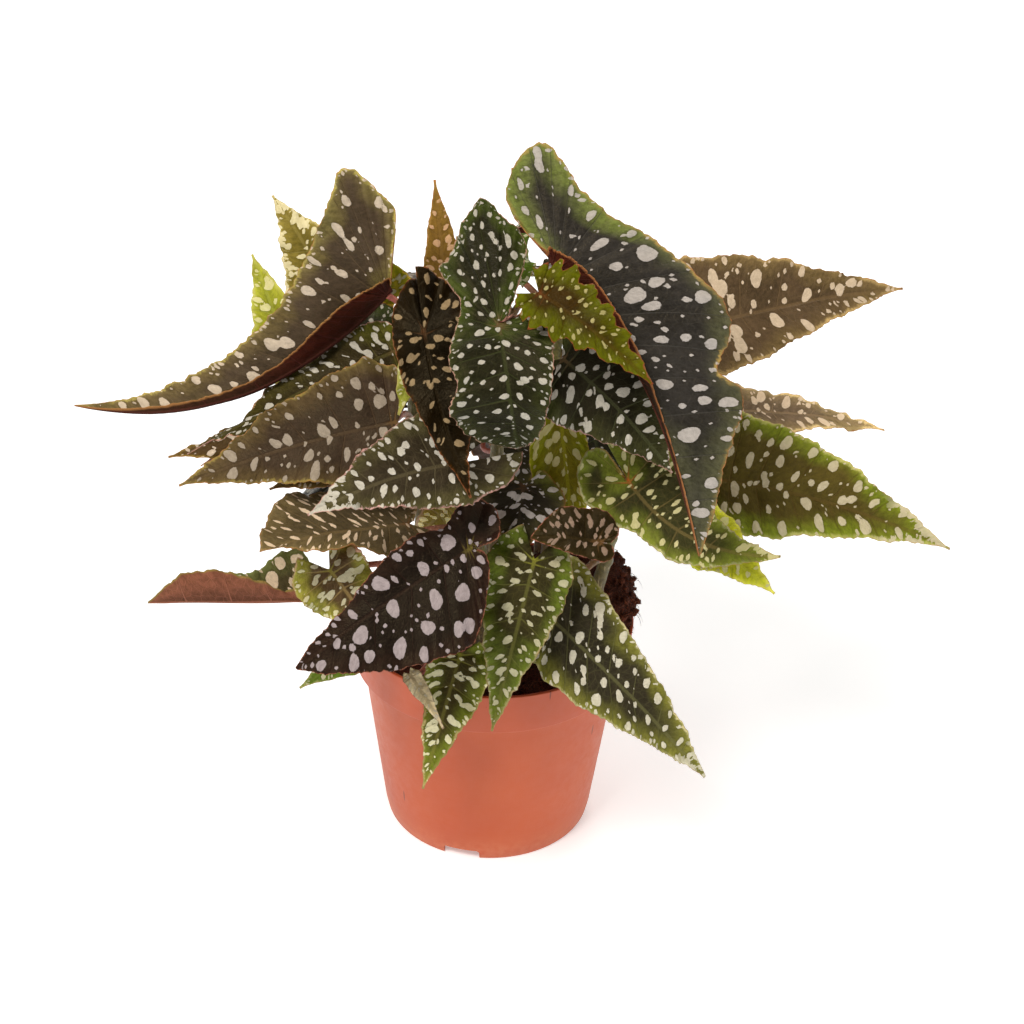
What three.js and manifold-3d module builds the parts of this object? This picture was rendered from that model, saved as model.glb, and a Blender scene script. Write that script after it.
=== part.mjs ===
// A polka dot begonia in a nursery pot: canes with arching petioles carry
// asymmetric, spotted "angel wing" leaves over a heaped peat root ball.
// Millimetres, +Z up. The origin is the centre of the pot's base, on the floor.
import * as THREE from 'three';
import { mergeVertices } from 'three/addons/utils/BufferGeometryUtils.js';
import Module from 'manifold-3d';

const wasm = await Module();
wasm.setup();

// Driving dimensions of the pot
const rimRadius = 60;
const potHeight = 96.8;
const wall = 1.4;
const collarHeight = 19.3;
const collarFlare = 1.8;
const collarStep = 3.6;
const baseRadius = 45.2;
const footHeight = 5.5;
const footInset = 1.2;
const footWidth = 1.8;
const standRadius = 16;
const channelRise = 4;
const draft = 0.4;
const edgeBevel = 0.4;
const notchCount = 3;
const notchAngle = THREE.MathUtils.degToRad(20);
const firstNotch = THREE.MathUtils.degToRad(-104);
const notchHeight = 4.4;
const drainCount = 6;
const drainRadius = 4;
const drainCircle = 29;
const drainSides = 12;
const potSides = 40;

// Driving dimensions of the peat
const clearance = 0.3;
const peatDrop = 3;
const heapAzimuth = THREE.MathUtils.degToRad(22);
const heapHalfWidth = THREE.MathUtils.degToRad(82);
const heapHeight = 22;
const heapOverhang = 2;
const crumbHeight = 1.2;

// Driving dimensions of the canes, petioles and blades
const caneRadius = 3.4;
const caneTopRadius = 2.2;
const caneDepth = 22;
const caneSteps = 7;
const caneSides = 6;
const petioleRadius = 1.5;
const petioleTipRadius = 1.1;
const petioleSteps = 4;
const petioleSides = 5;
const petioleRise = 0.3;
const petioleArrival = 12;
const petioleInset = 3;
const petioleGap = 0.4;
const bladeThickness = 0.8;
const sharpestSlant = 0.4;
const tipHalfWidth = 0.5;
const usualWidest = 0.1;
const usualCorner = 24;
const lobeEnd = 0.38;
const fullness = 1.35;
const taper = 1.2;
const basalFan = 0.3;
const basalRun = 0.03;
const lateralCrowding = 1.4;
const usualTeeth = 4;
const usualCut = 0.03;
const usualRipples = 3.3;
const rippleShift = 1.3;
const rippleSpread = 1.6;
const columnsPerHalf = 2;

const vec = (p) => new THREE.Vector3(...p);
const lerp = THREE.MathUtils.lerp;
const rad = THREE.MathUtils.degToRad;
const clamp01 = (t) => Math.min(1, Math.max(0, t));
const smooth = (t) => clamp01(t) ** 2 * (3 - 2 * clamp01(t));

// Colours of the real thing's pieces
const finishes = {
  pot: { color: 0xc4633c, roughness: 0.5 },
  peat: { color: 0x3a1c12, roughness: 0.95 },
  cane: { color: 0x6b4a2c, roughness: 0.6 },
  charcoal: { color: 0x26302a, roughness: 0.45 },
  dark: { color: 0x243a22, roughness: 0.45 },
  olive: { color: 0x4c4a2e, roughness: 0.5 },
  rose: { color: 0x5a463c, roughness: 0.5 },
  bright: { color: 0x4f7a20, roughness: 0.45 },
  lime: { color: 0x7f9a2c, roughness: 0.45 },
  cream: { color: 0x9aa068, roughness: 0.5 },
  dried: { color: 0xa9a48c, roughness: 0.8 },
};

// Canes: base in the peat, top, and the bow of the middle
const canes = {
  left: { base: [-22, -6, 95], top: [-34, 2, 236], bow: [-4, -2, 0] },
  middle: { base: [0, -14, 95], top: [4, -22, 250], bow: [-2, 6, 0] },
  right: { base: [22, -4, 96], top: [30, -8, 246], bow: [-2, 2, 0] },
  front: { base: [-4, -36, 93], top: [-8, -38, 172], bow: [2, 2, 0] },
  side: { base: [38, -14, 96], top: [50, -16, 176], bow: [2, 0, 0] },
  backLeft: { base: [-18, 24, 96], top: [-32, 28, 210], bow: [-2, 4, 0] },
  backRight: { base: [20, 26, 100], top: [24, 32, 216], bow: [0, 4, 0] },
};

// A leaf at the back, which looks outwards. azimuth: where it points, seen from
// above, in degrees from +X. seat: distance from the axis and height of its joint.
// droop: how far the tip hangs below level, in degrees. halves: half widths.
function backLeaf(name, finish, cane, at, azimuth, seat, length, droop, halves) {
  const out = [Math.cos(rad(azimuth)), Math.sin(rad(azimuth))];
  const skew = rad(azimuth + (halves[0] > halves[1] ? 14 : -14));
  const tilted = rad(azimuth + 40 * Math.sin(7 * azimuth));
  const [radius, height] = seat;
  const reach = length * Math.cos(rad(droop));
  const bigRight = halves[0] > halves[1];
  return {
    name, finish, cane, at,
    joint: [radius * out[0], radius * out[1], height],
    tip: [
      radius * out[0] + reach * Math.cos(skew),
      radius * out[1] + reach * Math.sin(skew),
      height - length * Math.sin(rad(droop)),
    ],
    bow: [4 * out[0], 4 * out[1], 12],
    face: [0.7 * Math.cos(tilted), 0.7 * Math.sin(tilted), 0.7],
    right: [halves[0], bigRight ? 18 : 8, 6, -14],
    left: [halves[1], bigRight ? 8 : 18, 6, -14],
    wave: 2,
    phase: azimuth,
  };
}

// Leaves. joint: where the petiole meets the blade. tip: the drawn-out end.
// bow: how far the midrib's control point lies off the straight line.
// face, tipFace: where the upper side looks, at the base and at the tip.
// right, left: half width, basal lobe, fold up from flat and curl, in mm and
// degrees, and at times the angle where the lobe starts, seen from above with the
// tip pointing away. widest: where along the midrib. teeth, cut: of the margin.
// wave: height of the margin's ripples. pull: how far the midrib's ends reach.
// rightShape, leftShape: the outline of a half that is bent or lobed unlike the
// others, from the joint to the tip. fan: the share of the outline fed from the joint.
// cane, at: the cane that carries it, and how far up that cane.
const leaves = [
  { name: 'leaf_upper_left', finish: 'olive', cane: 'left', at: 0.95, teeth: 6,
    joint: [-42, -10, 254], tip: [-165, -25, 207], bow: [6, 0, -42],
    face: [0.15, -0.85, 0.5], tipFace: [-0.1, -0.45, 0.9], fan: 0.55,
    right: [45, 26, 5, 10], left: [10, 3, 132, 6], wave: 1.5,
    rightShape: [
      [-2, 2], [-12, 9], [-24, 19], [-26, 30], [-25, 45], [-16, 42], [0, 36], [14, 32],
      [39, 24], [68, 18], [94, 14], [116, 7], [141, 0.5]],
    leftShape: [
      [-2, 2], [-3, 3], [-3, 5], [-2, 6], [0, 7], [4, 8.5], [9, 10.5], [16, 12], [30, 11],
      [50, 7], [76, 4], [110, 2], [141, 0.5]] },
  { name: 'leaf_cream_back', finish: 'cream', cane: 'backLeft', at: 0.9, teeth: 4,
    joint: [-66, 38, 222], tip: [-94, 60, 260], bow: [0, 0, 4],
    face: [0, -0.8, 0.6], right: [18, 6, 5, 0], left: [18, 10, 5, 0], wave: 1 },
  { name: 'leaf_lime_back', finish: 'lime', cane: 'backLeft', at: 0.8, teeth: 4,
    joint: [-84, 26, 198], tip: [-102, 50, 238], bow: [0, 0, 2],
    face: [0, -0.8, 0.6], right: [14, 6, 5, 0], left: [14, 6, 5, 0], wave: 1 },
  { name: 'leaf_under_left', finish: 'dark', cane: 'left', at: 0.82,
    joint: [-39, -15, 230], tip: [-122, -24, 186], bow: [-4, 0, 2],
    face: [0, -0.7, 0.7], tipFace: [0.3, 0.2, 0.9],
    right: [14, 6, 10, 0], left: [20, 8, -10, 0], wave: 2 },
  { name: 'leaf_mid_left', finish: 'olive', cane: 'left', at: 0.7, teeth: 6,
    joint: [-38, -45, 215], tip: [-122, -50, 187], bow: [0, 0, 5],
    face: [0, -0.75, 0.65], right: [26, 10, 5, -14], left: [22, 10, 5, -14], wave: 2.5 },
  { name: 'leaf_tip_left', finish: 'olive', cane: 'left', at: 0.55, teeth: 4,
    joint: [-67, -10, 186], tip: [-131, -15, 179], bow: [0, 0, 4],
    face: [0, -0.5, 0.8], right: [16, 6, 5, -14], left: [14, 6, 5, -14], wave: 1 },
  { name: 'leaf_maroon_left', finish: 'rose', cane: 'front', at: 0.9, teeth: 4,
    joint: [-45, -28, 190], tip: [-89, -33, 176], bow: [0, 0, 2],
    face: [0, -0.6, 0.8], right: [14, 6, 5, -14], left: [12, 6, 5, -14], wave: 1 },
  { name: 'leaf_silver_tip', finish: 'dark', cane: 'front', at: 1, teeth: 6,
    joint: [-15, -65, 209], tip: [-69, -90, 200], bow: [0, 0, 6],
    face: [0, -0.75, 0.65], right: [22, 20, 5, -14], left: [16, 27, 5, -14, 0], wave: 1.5 },
  { name: 'leaf_striped', finish: 'rose', cane: 'front', at: 0.86,
    joint: [-33, -48, 171], tip: [-89, -75, 174], bow: [0, 0, 4],
    face: [0, -0.3, 0.95], right: [24, 8, 5, -14], left: [14, 8, 5, -14], wave: 2,
    rightShape: [
      [-3, 2], [-5, 9], [4, 16], [15, 18], [27, 23], [38, 24], [48, 20], [57, 10], [62, 0.5]] },
  { name: 'leaf_narrow_wavy', finish: 'charcoal', cane: 'middle', at: 0.93,
    joint: [-28, -46, 255], tip: [-9, -80, 203], bow: [-4, -4, 2],
    face: [0.1, -0.85, 0.5], right: [12, 20, 5, -14, 0], left: [18, 24, 5, -14, 0], wave: 3 },
  { name: 'leaf_centre', finish: 'dark', cane: 'middle', at: 1, teeth: 7,
    joint: [0, -58, 265], tip: [8, -62, 214], bow: [2, -34, 4], pull: 0.75,
    face: [0, -0.8, 0.6], tipFace: [0, -0.5, -0.8], fan: 0.55,
    right: [22, 56, 4, 0], left: [19, 3, 4, 0], wave: 1.5,
    rightShape: [
      [-3, -4], [-33, -14], [-46, -7], [-56, -1], [-46, 8], [-32, 13], [-25, 19], [-11, 13],
      [3, 17], [13, 20], [22, 18], [31, 22], [42, 20], [54, 12], [66, 0.5]],
    leftShape: [
      [0, 2], [-2, 6], [-3, 10], [-2, 14], [1, 17], [6, 18], [13, 18], [21, 17], [32, 14],
      [44, 10], [55, 5], [66, 0.5]] },
  { name: 'leaf_small_back', finish: 'olive', cane: 'backLeft', at: 1, teeth: 4,
    joint: [-22, 22, 238], tip: [-27, 37, 279], bow: [0, 0, 0],
    face: [0, -0.9, 0.4], right: [9, 4, 5, -14], left: [8, 4, 5, -14], wave: 0.5 },
  { name: 'leaf_toothed', finish: 'bright', cane: 'middle', at: 0.97, teeth: 8, cut: 0.16,
    joint: [14, -58, 278], tip: [56, -80, 253], bow: [0, 0, 4],
    face: [0, -0.75, 0.65], right: [11, 8, 5, -14], left: [14, 8, 5, -14], wave: 1 },
  { name: 'leaf_upper_right', finish: 'charcoal', cane: 'right', at: 0.96, teeth: 9,
    joint: [19, -38, 281], tip: [77, -85, 183], bow: [9, 0, 18], pull: 0.85,
    face: [0.1, -0.8, 0.6], tipFace: [0.2, -0.9, 0.2], fan: 0.45,
    left: [40, 34, 5, 0], right: [10, 4, 122, 8], wave: 1.5,
    leftShape: [
      [-3, 1], [-14, 0], [-29, 4], [-35, 13], [-37, 22], [-34, 28], [-26, 28], [-12, 26],
      [3, 28], [17, 33], [33, 37], [49, 40], [57, 34], [64, 27], [73, 33], [84, 26], [96, 17],
      [110, 10], [126, 0.5]],
    rightShape: [
      [-3, 1], [-4, 3], [-2, 5], [2, 6.5], [7, 8], [17, 9.5], [32, 7.5], [50, 4.5], [72, 2.6],
      [98, 1.6], [126, 0.5]] },
  { name: 'leaf_rose_right', finish: 'rose', cane: 'backRight', at: 0.9, teeth: 6,
    joint: [78, 30, 219], tip: [168, 60, 225], bow: [0, 0, 5],
    face: [0, -0.7, 0.7], left: [30, 10, 5, -14], right: [22, 10, 5, -14], wave: 1.5 },
  { name: 'leaf_narrow_right', finish: 'rose', cane: 'backRight', at: 0.7, teeth: 4,
    joint: [97, 10, 193], tip: [162, 30, 174], bow: [0, 0, 4],
    face: [0, -0.3, 0.95], left: [14, 6, 5, -14], right: [12, 6, 5, -14], wave: 1 },
  { name: 'leaf_lower_right', finish: 'bright', cane: 'side', at: 1, teeth: 6,
    joint: [87, -25, 181], tip: [183, -30, 154], bow: [0, 0, 9],
    face: [0, -0.75, 0.65], left: [28, 12, 5, -14], right: [21, 10, 5, -14], wave: 1.5 },
  { name: 'leaf_glossy_right', finish: 'bright', cane: 'side', at: 0.9,
    joint: [51, -45, 192], tip: [111, -62, 169], bow: [-9, -8, -14],
    face: [0, -0.7, 0.7], left: [23, 18, 5, -14, 2], right: [20, 17, 5, -14], wave: 1.5,
    rightShape: [
      [-3, 1], [-15, 2], [-17, 8], [-12, 15], [-4, 18.5], [4, 17], [11, 14], [18, 10.5], [25, 11],
      [33, 11.5], [40, 9], [51, 4.5], [62, 2], [69.5, 0.5]] },
  { name: 'leaf_lime_right', finish: 'lime', cane: 'side', at: 0.75, cut: 0.08,
    joint: [77, -47, 171], tip: [111, -55, 147], bow: [0, 0, 2],
    face: [0, -0.7, 0.7], left: [14, 5, 5, -14], right: [12, 4, 5, -14], wave: 1.5 },
  { name: 'leaf_hanging', finish: 'bright', cane: 'middle', at: 0.8,
    joint: [24, -27, 214], tip: [32, -37, 156], bow: [0, -4, 2],
    face: [0, -0.9, 0.4], left: [10, 6, 5, -14], right: [14, 6, 5, -14], wave: 1, widest: 0.5 },
  { name: 'leaf_under_centre', finish: 'dark', cane: 'right', at: 0.8, teeth: 6,
    joint: [24, -47, 245], tip: [67, -60, 204], bow: [0, 0, 6],
    face: [0, -0.75, 0.65], left: [27, 9, 5, -14], right: [22, 10, 5, -14], wave: 1.5 },
  { name: 'leaf_dark_centre', finish: 'charcoal', cane: 'middle', at: 0.55, teeth: 4,
    joint: [11, -40, 185], tip: [9, -56, 164], bow: [0, 0, 2],
    face: [0, -0.8, 0.6], left: [17, 8, 5, -14], right: [17, 8, 5, -14], wave: 1, widest: 0.3 },
  { name: 'leaf_brown_centre', finish: 'rose', cane: 'side', at: 0.6,
    joint: [41, -66, 176], tip: [14, -64, 176], bow: [0, 0, 2],
    face: [0, -0.7, 0.7], left: [8, 6, 5, -14], right: [13, 6, 5, -14], wave: 0.8,
    rightShape: [
      [-4, 0.5], [-6, 4], [-5, 8], [-2, 11], [3, 12.5], [9, 12.5], [15, 12], [20, 8.5], [24, 4],
      [27, 0.5]],
    leftShape: [
      [-4, 0.5], [-6, 4], [-3, 7], [3, 7], [10, 6], [17, 4], [23, 2.2], [27, 0.5]] },
  { name: 'leaf_black_lower', finish: 'charcoal', cane: 'front', at: 0.8, teeth: 6,
    joint: [-8, -72, 176], tip: [-74, -98, 136], bow: [0, -4, 6],
    face: [0, -0.75, 0.65], right: [17, 15, 5, 0], left: [31, 3, 5, -8], wave: 1.5, fan: 0.45,
    rightShape: [
      [-2, -1], [-10, -2], [-15, 7], [-13, 14], [-7, 17], [-1, 15], [4, 12], [14, 15], [27, 14],
      [38, 12], [51, 8], [70, 4], [82, 0.5]],
    leftShape: [
      [-1, 2], [-3, 5], [1, 13], [6, 19], [13, 26], [20, 31], [30, 30], [45, 25], [57, 19],
      [71, 10], [82, 0.5]] },
  { name: 'leaf_green_tip', finish: 'bright', cane: 'front', at: 0.35, teeth: 4,
    joint: [-52, -55, 115], tip: [-76, -65, 103], bow: [0, 0, 2],
    face: [0, -0.7, 0.7], right: [8, 4, 5, -14], left: [8, 4, 5, -14], wave: 0.5 },
  { name: 'leaf_bright_centre', finish: 'bright', cane: 'front', at: 0.9, teeth: 6,
    joint: [16, -62, 165], tip: [1, -88, 101], bow: [0, -6, 6],
    face: [0, -0.85, 0.5], right: [18, 14, 5, -14], left: [16, 12, 5, -14], wave: 2 },
  { name: 'leaf_olive_front', finish: 'olive', cane: 'front', at: 0.5,
    joint: [-12, -64, 121], tip: [-26, -82, 67], bow: [0, -4, 4],
    face: [0, -0.85, 0.5], right: [12, 8, 5, -14], left: [14, 8, 5, -14], wave: 1.5 },
  { name: 'leaf_dried', finish: 'dried', cane: 'front', at: 0.4, teeth: 4,
    joint: [-32, -70, 115], tip: [-18, -83, 98], bow: [0, 0, 2],
    face: [0.3, -0.8, 0.5], right: [4, 2, 5, -14], left: [4, 2, 5, -14], wave: 1 },
  { name: 'leaf_front_right', finish: 'dark', cane: 'side', at: 0.6, teeth: 6,
    joint: [22, -58, 136], tip: [87, -78, 73], bow: [2, -6, 6],
    face: [0.1, -0.8, 0.6], left: [26, 17, 5, -14], right: [19, 8, 5, -14], wave: 1.5, widest: 0.22,
    leftShape: [
      [-4, 1], [-12, 3], [-17, 9], [-17, 16], [-13, 22], [-4, 25], [8, 22.5], [22, 18.5], [38, 15],
      [56, 11], [76, 5], [94, 0.5]] },
  { name: 'leaf_folded_left', finish: 'rose', cane: 'front', at: 0.3,
    joint: [-66, -30, 121], tip: [-137, -50, 132], bow: [0, 0, 2],
    face: [0, -0.3, 0.9], right: [21, 3, 34, 0], left: [15, 3, 112, 0], wave: 1,
    rightShape: [
      [-3, 3], [-2, 8], [6, 12], [14, 21], [23, 18], [32, 11], [44, 10], [58, 8], [75, 0.5]],
    leftShape: [
      [-3, 1], [-1, 3], [5, 4.5], [12, 5.5], [20, 6], [32, 9], [46, 14], [62, 12], [75, 0.5]] },
  { name: 'leaf_green_left', finish: 'bright', cane: 'front', at: 0.6,
    joint: [-64, -55, 153], tip: [-42, -60, 119], bow: [0, 0, 2],
    face: [0, -0.8, 0.6], right: [16, 14, 5, -14], left: [14, 10, 5, -14], wave: 2 },
  { name: 'leaf_crinkled', finish: 'lime', cane: 'middle', at: 0.86, teeth: 4,
    joint: [-31, -50, 244], tip: [-37, -56, 224], bow: [0, 0, 0],
    face: [0, -0.8, 0.6], right: [6, 3, 5, -14], left: [5, 3, 5, -14], wave: 1.5 },
  { name: 'leaf_backlit', finish: 'lime', cane: 'front', at: 0.72, teeth: 4,
    joint: [-18, -29, 168], tip: [-33, -36, 152], bow: [0, 0, 2],
    face: [0, -0.7, 0.7], right: [9, 4, 5, -14], left: [9, 4, 5, -14], wave: 1 },
  { name: 'leaf_young_left', finish: 'bright', cane: 'backLeft', at: 0.98, teeth: 4,
    joint: [-40, 8, 242], tip: [-44, 10, 257], bow: [0, 0, 2],
    face: [0.2, -0.8, 0.6], right: [8, 4, 5, -14], left: [8, 4, 5, -14], wave: 1 },
  { name: 'leaf_inner_left', finish: 'dark', cane: 'backLeft', at: 0.96,
    joint: [-48, 8, 224], tip: [-100, 16, 203], bow: [0, 0, 6],
    face: [0, -0.2, 1], right: [20, 12, 4, 0], left: [16, 7, 4, 0], wave: 2 },
  { name: 'leaf_inner_right', finish: 'charcoal', cane: 'right', at: 0.78,
    joint: [36, 6, 238], tip: [86, 16, 216], bow: [0, 0, 8],
    face: [0, 0, 1], right: [16, 7, 4, 0], left: [20, 12, 4, 0], wave: 2 },
  { name: 'leaf_inner_centre', finish: 'charcoal', cane: 'backRight', at: 0.8,
    joint: [9, 10, 186], tip: [11, 12, 144], bow: [0, 3, 0],
    face: [0, -0.9, 0.4], right: [14, 8, 4, -10], left: [14, 8, 4, -10], wave: 1 },
  { name: 'leaf_inner_lower', finish: 'dark', cane: 'right', at: 0.72,
    joint: [38, 11, 185], tip: [50, 13, 143], bow: [0, 3, 0],
    face: [0, -0.9, 0.4], right: [16, 9, 4, -10], left: [15, 9, 4, -10], wave: 1 },
  backLeaf('leaf_back_1', 'charcoal', 'backRight', 0.97, 62, [46, 236], 108, 26, [24, 18]),
  backLeaf('leaf_back_2', 'dark', 'backRight', 1, 98, [48, 244], 96, 32, [22, 26]),
  backLeaf('leaf_back_3', 'olive', 'backLeft', 0.95, 122, [50, 229], 92, 26, [20, 25]),
  backLeaf('leaf_back_4', 'dark', 'backRight', 0.84, 80, [58, 200], 104, 36, [26, 20]),
  backLeaf('leaf_back_5', 'rose', 'backLeft', 0.84, 112, [62, 190], 104, 36, [20, 25]),
  backLeaf('leaf_back_6', 'charcoal', 'backLeft', 0.72, 148, [62, 178], 92, 30, [25, 20]),
  backLeaf('leaf_back_7', 'dark', 'backRight', 0.72, 42, [64, 182], 96, 38, [20, 24]),
  backLeaf('leaf_back_8', 'bright', 'backRight', 0.6, 66, [64, 152], 82, 44, [22, 17]),
  backLeaf('leaf_back_9', 'olive', 'backRight', 0.5, 95, [64, 146], 84, 46, [17, 22]),
  backLeaf('leaf_back_10', 'bright', 'backLeft', 0.55, 128, [64, 142], 80, 42, [21, 17]),
  backLeaf('leaf_back_11', 'dark', 'backLeft', 0.46, 158, [60, 148], 62, 38, [17, 21]),
  backLeaf('leaf_back_top', 'bright', 'middle', 0.96, 76, [6, 262], 50, 14, [14, 11]),
  backLeaf('leaf_back_12', 'charcoal', 'backRight', 0.45, 16, [66, 142], 76, 40, [20, 16]),
];

function curveThrough(shape) {
  return new THREE.CatmullRomCurve3(shape.map(([x, y]) => new THREE.Vector3(x, y, 0)));
}

// Half outline of a leaf lying flat: x along the midrib, y outwards.
// From t = 0, the inner corner of the basal lobe, to t = 1, the tip.
function halfOutline(leaf, side, length, t) {
  const shape = side > 0 ? leaf.rightShape : leaf.leftShape;
  if (shape) return curveThrough(shape).getPoint(t).toArray();
  const [width, lobe, , , corner = usualCorner] = side > 0 ? leaf.right : leaf.left;
  const widest = (leaf.widest ?? usualWidest) * length;
  let x;
  let y;
  if (t < lobeEnd) {
    const angle = lerp(rad(corner), Math.PI / 2, t / lobeEnd);
    x = widest - (lobe + widest) * Math.cos(angle);
    y = width * Math.sin(angle);
  } else {
    const run = (t - lobeEnd) / (1 - lobeEnd);
    x = lerp(widest, length, run);
    y = Math.max(tipHalfWidth, width * Math.max(0, 1 - run ** fullness) ** taper);
  }
  const teeth = leaf.teeth ?? usualTeeth;
  const tooth = 1 + (leaf.cut ?? usualCut) * Math.cos(2 * Math.PI * teeth * t) * smooth(8 * (1 - t));
  return [x, y * tooth];
}

// Where the lateral line of the same t starts on the midrib, as a share of it
function lateralStart(t, fan) {
  const basal = Math.min(t, fan) / fan * basalRun;
  return basal + (1 - basalRun) * clamp01((t - fan) / (1 - fan)) ** lateralCrowding;
}

// The leaf's surface in space: a function of t, v (0 midrib to 1 margin) and side
function leafSurface(leaf) {
  const joint = vec(leaf.joint);
  const tip = vec(leaf.tip);
  const control = joint.clone().lerp(tip, 0.5).add(vec(leaf.bow));
  const pull = leaf.pull ?? 2 / 3;
  const midrib = new THREE.CubicBezierCurve3(
    joint, joint.clone().lerp(control, pull), tip.clone().lerp(control, pull), tip);
  const length = midrib.getLength();
  const face = vec(leaf.face);
  const tipFace = vec(leaf.tipFace ?? leaf.face);

  function frame(x) {
    const share = clamp01(x / length);
    const tangent = midrib.getTangentAt(share);
    const centre = midrib.getPointAt(share);
    if (x < 0) centre.addScaledVector(tangent, x);
    const normal = face.clone().lerp(tipFace, smooth(share));
    normal.addScaledVector(tangent, -normal.dot(tangent)).normalize();
    return { centre, tangent, normal, right: tangent.clone().cross(normal) };
  }

  function point(t, v, side) {
    const half = side > 0 ? leaf.right : leaf.left;
    const [outX, outY] = halfOutline(leaf, side, length, t);
    const start = lateralStart(t, leaf.fan ?? basalFan) * length;
    const x = lerp(start, outX, v);
    const y = outY * v;
    const [width, , fold, curl] = half;
    const bend = rad(curl || 0.01) / width;
    const lean = rad(fold);
    const across = (Math.sin(lean + bend * y) - Math.sin(lean)) / bend;
    const above = (Math.cos(lean) - Math.cos(lean + bend * y)) / bend;
    const phase = (leaf.phase ?? 0) + (side > 0 ? 0 : rippleShift);
    const swell = Math.sin(2 * Math.PI * usualRipples * t + phase);
    const ripple = leaf.wave * v ** rippleSpread * swell * smooth(6 * (1 - t));
    const f = frame(x);
    return f.centre.clone()
      .addScaledVector(f.right, side * across)
      .addScaledVector(f.normal, above + ripple);
  }
  return { point, frame, length };
}

// A blade: a grid of stations and columns on both faces, closed by a rim
function bladeGeometry(leaf) {
  const { point } = leafSurface(leaf);
  const stations = 2 * (leaf.teeth ?? usualTeeth);
  const top = [];
  const rows = [];
  for (let i = 0; i <= stations; i += 1) {
    const row = [];
    for (let c = -columnsPerHalf; c <= columnsPerHalf; c += 1) {
      row.push(top.length);
      top.push(point(i / stations, Math.abs(c) / columnsPerHalf, Math.sign(c) || 1));
    }
    rows.push(row);
  }
  const faces = [];
  for (let i = 0; i < stations; i += 1) {
    for (let c = 0; c < 2 * columnsPerHalf; c += 1) {
      const [a, b, d, e] = [rows[i][c], rows[i][c + 1], rows[i + 1][c], rows[i + 1][c + 1]];
      if (c < columnsPerHalf) faces.push([a, b, e], [a, e, d]);
      else faces.push([a, b, d], [b, e, d]);
    }
  }
  return thicken(top, faces, bladeThickness);
}

// Gives a sheet of triangles a second face below it and a rim all round. At a
// fold the second face stands off further, so that the wall keeps its thickness.
function thicken(top, faces, thickness) {
  const around = top.map(() => []);
  for (const [a, b, c] of faces) {
    const normal = top[b].clone().sub(top[a]).cross(top[c].clone().sub(top[a])).normalize();
    for (const corner of [a, b, c]) around[corner].push(normal);
  }
  const points = [...top];
  top.forEach((p, i) => {
    const normal = around[i].reduce((sum, n) => sum.add(n), new THREE.Vector3()).normalize();
    const slant = Math.max(sharpestSlant, Math.min(...around[i].map((n) => n.dot(normal))));
    points.push(p.clone().addScaledVector(normal, -thickness / slant));
  });
  const triangles = [];
  const edges = new Map();
  for (const [a, b, c] of faces) {
    triangles.push([a, b, c], [c + top.length, b + top.length, a + top.length]);
    for (const [from, to] of [[a, b], [b, c], [c, a]]) {
      const back = `${to} ${from}`;
      if (edges.has(back)) edges.delete(back);
      else edges.set(`${from} ${to}`, [from, to]);
    }
  }
  for (const [from, to] of edges.values()) {
    triangles.push([to, from, from + top.length], [to, from + top.length, to + top.length]);
  }
  return geometryOf(points, triangles);
}

function geometryOf(points, triangles) {
  const geometry = new THREE.BufferGeometry();
  geometry.setAttribute('position', new THREE.Float32BufferAttribute(points.flatMap((p) => p.toArray()), 3));
  geometry.setIndex(triangles.flat());
  return geometry;
}

// A round stem along a curve, tapering, with closed ends
function stemGeometry(curve, steps, sides, radiusAt) {
  const frames = curve.computeFrenetFrames(steps, false);
  const points = [];
  const triangles = [];
  for (let i = 0; i <= steps; i += 1) {
    const centre = curve.getPointAt(i / steps);
    const radius = radiusAt(i / steps);
    for (let k = 0; k < sides; k += 1) {
      const angle = 2 * Math.PI * k / sides;
      points.push(centre.clone()
        .addScaledVector(frames.normals[i], radius * Math.cos(angle))
        .addScaledVector(frames.binormals[i], radius * Math.sin(angle)));
    }
  }
  for (let i = 0; i < steps; i += 1) {
    for (let k = 0; k < sides; k += 1) {
      const [a, b] = [i * sides + k, i * sides + (k + 1) % sides];
      triangles.push([a, b, b + sides], [a, b + sides, a + sides]);
    }
  }
  for (let k = 1; k < sides - 1; k += 1) {
    const last = steps * sides;
    triangles.push([0, k + 1, k], [last, last + k, last + k + 1]);
  }
  return geometryOf(points, triangles);
}

function solidOf(source) {
  const geometry = source.clone();
  geometry.deleteAttribute('normal');
  geometry.deleteAttribute('uv');
  const merged = mergeVertices(geometry, 1e-4);
  return new wasm.Manifold(new wasm.Mesh({
    numProp: 3,
    vertProperties: new Float32Array(merged.attributes.position.array),
    triVerts: new Uint32Array(merged.index.array),
  }));
}

function geometryFrom(solid) {
  const mesh = solid.getMesh();
  const geometry = new THREE.BufferGeometry();
  geometry.setAttribute('position', new THREE.BufferAttribute(new Float32Array(mesh.vertProperties), 3));
  geometry.setIndex(new THREE.BufferAttribute(new Uint32Array(mesh.triVerts), 1));
  return geometry;
}

function turned(profile, sides) {
  const geometry = new THREE.LatheGeometry(profile.map(([r, z]) => new THREE.Vector2(r, z)), sides);
  return geometry.rotateX(Math.PI / 2);
}

function placed(geometry, x, y, z, turn = 0) {
  return geometry.rotateZ(turn).translate(x, y, z);
}

// Pot: a turned shell with a stepped collar, a foot ring with drain notches,
// a raised channel with drain holes and a flat stand in the middle of the base
const collarBottom = potHeight - collarHeight;
const collarRadius = rimRadius - collarFlare;
const shoulderRadius = collarRadius - collarStep;

const footRadius = baseRadius - footInset;
const floor = channelRise + wall;
const potInside = [
  [baseRadius - wall - 3, floor], [baseRadius - wall - 1, floor + 1.5],
  [shoulderRadius - wall, collarBottom - 2], [collarRadius - wall, collarBottom + 1.5],
  [rimRadius - wall, potHeight],
];

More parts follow.
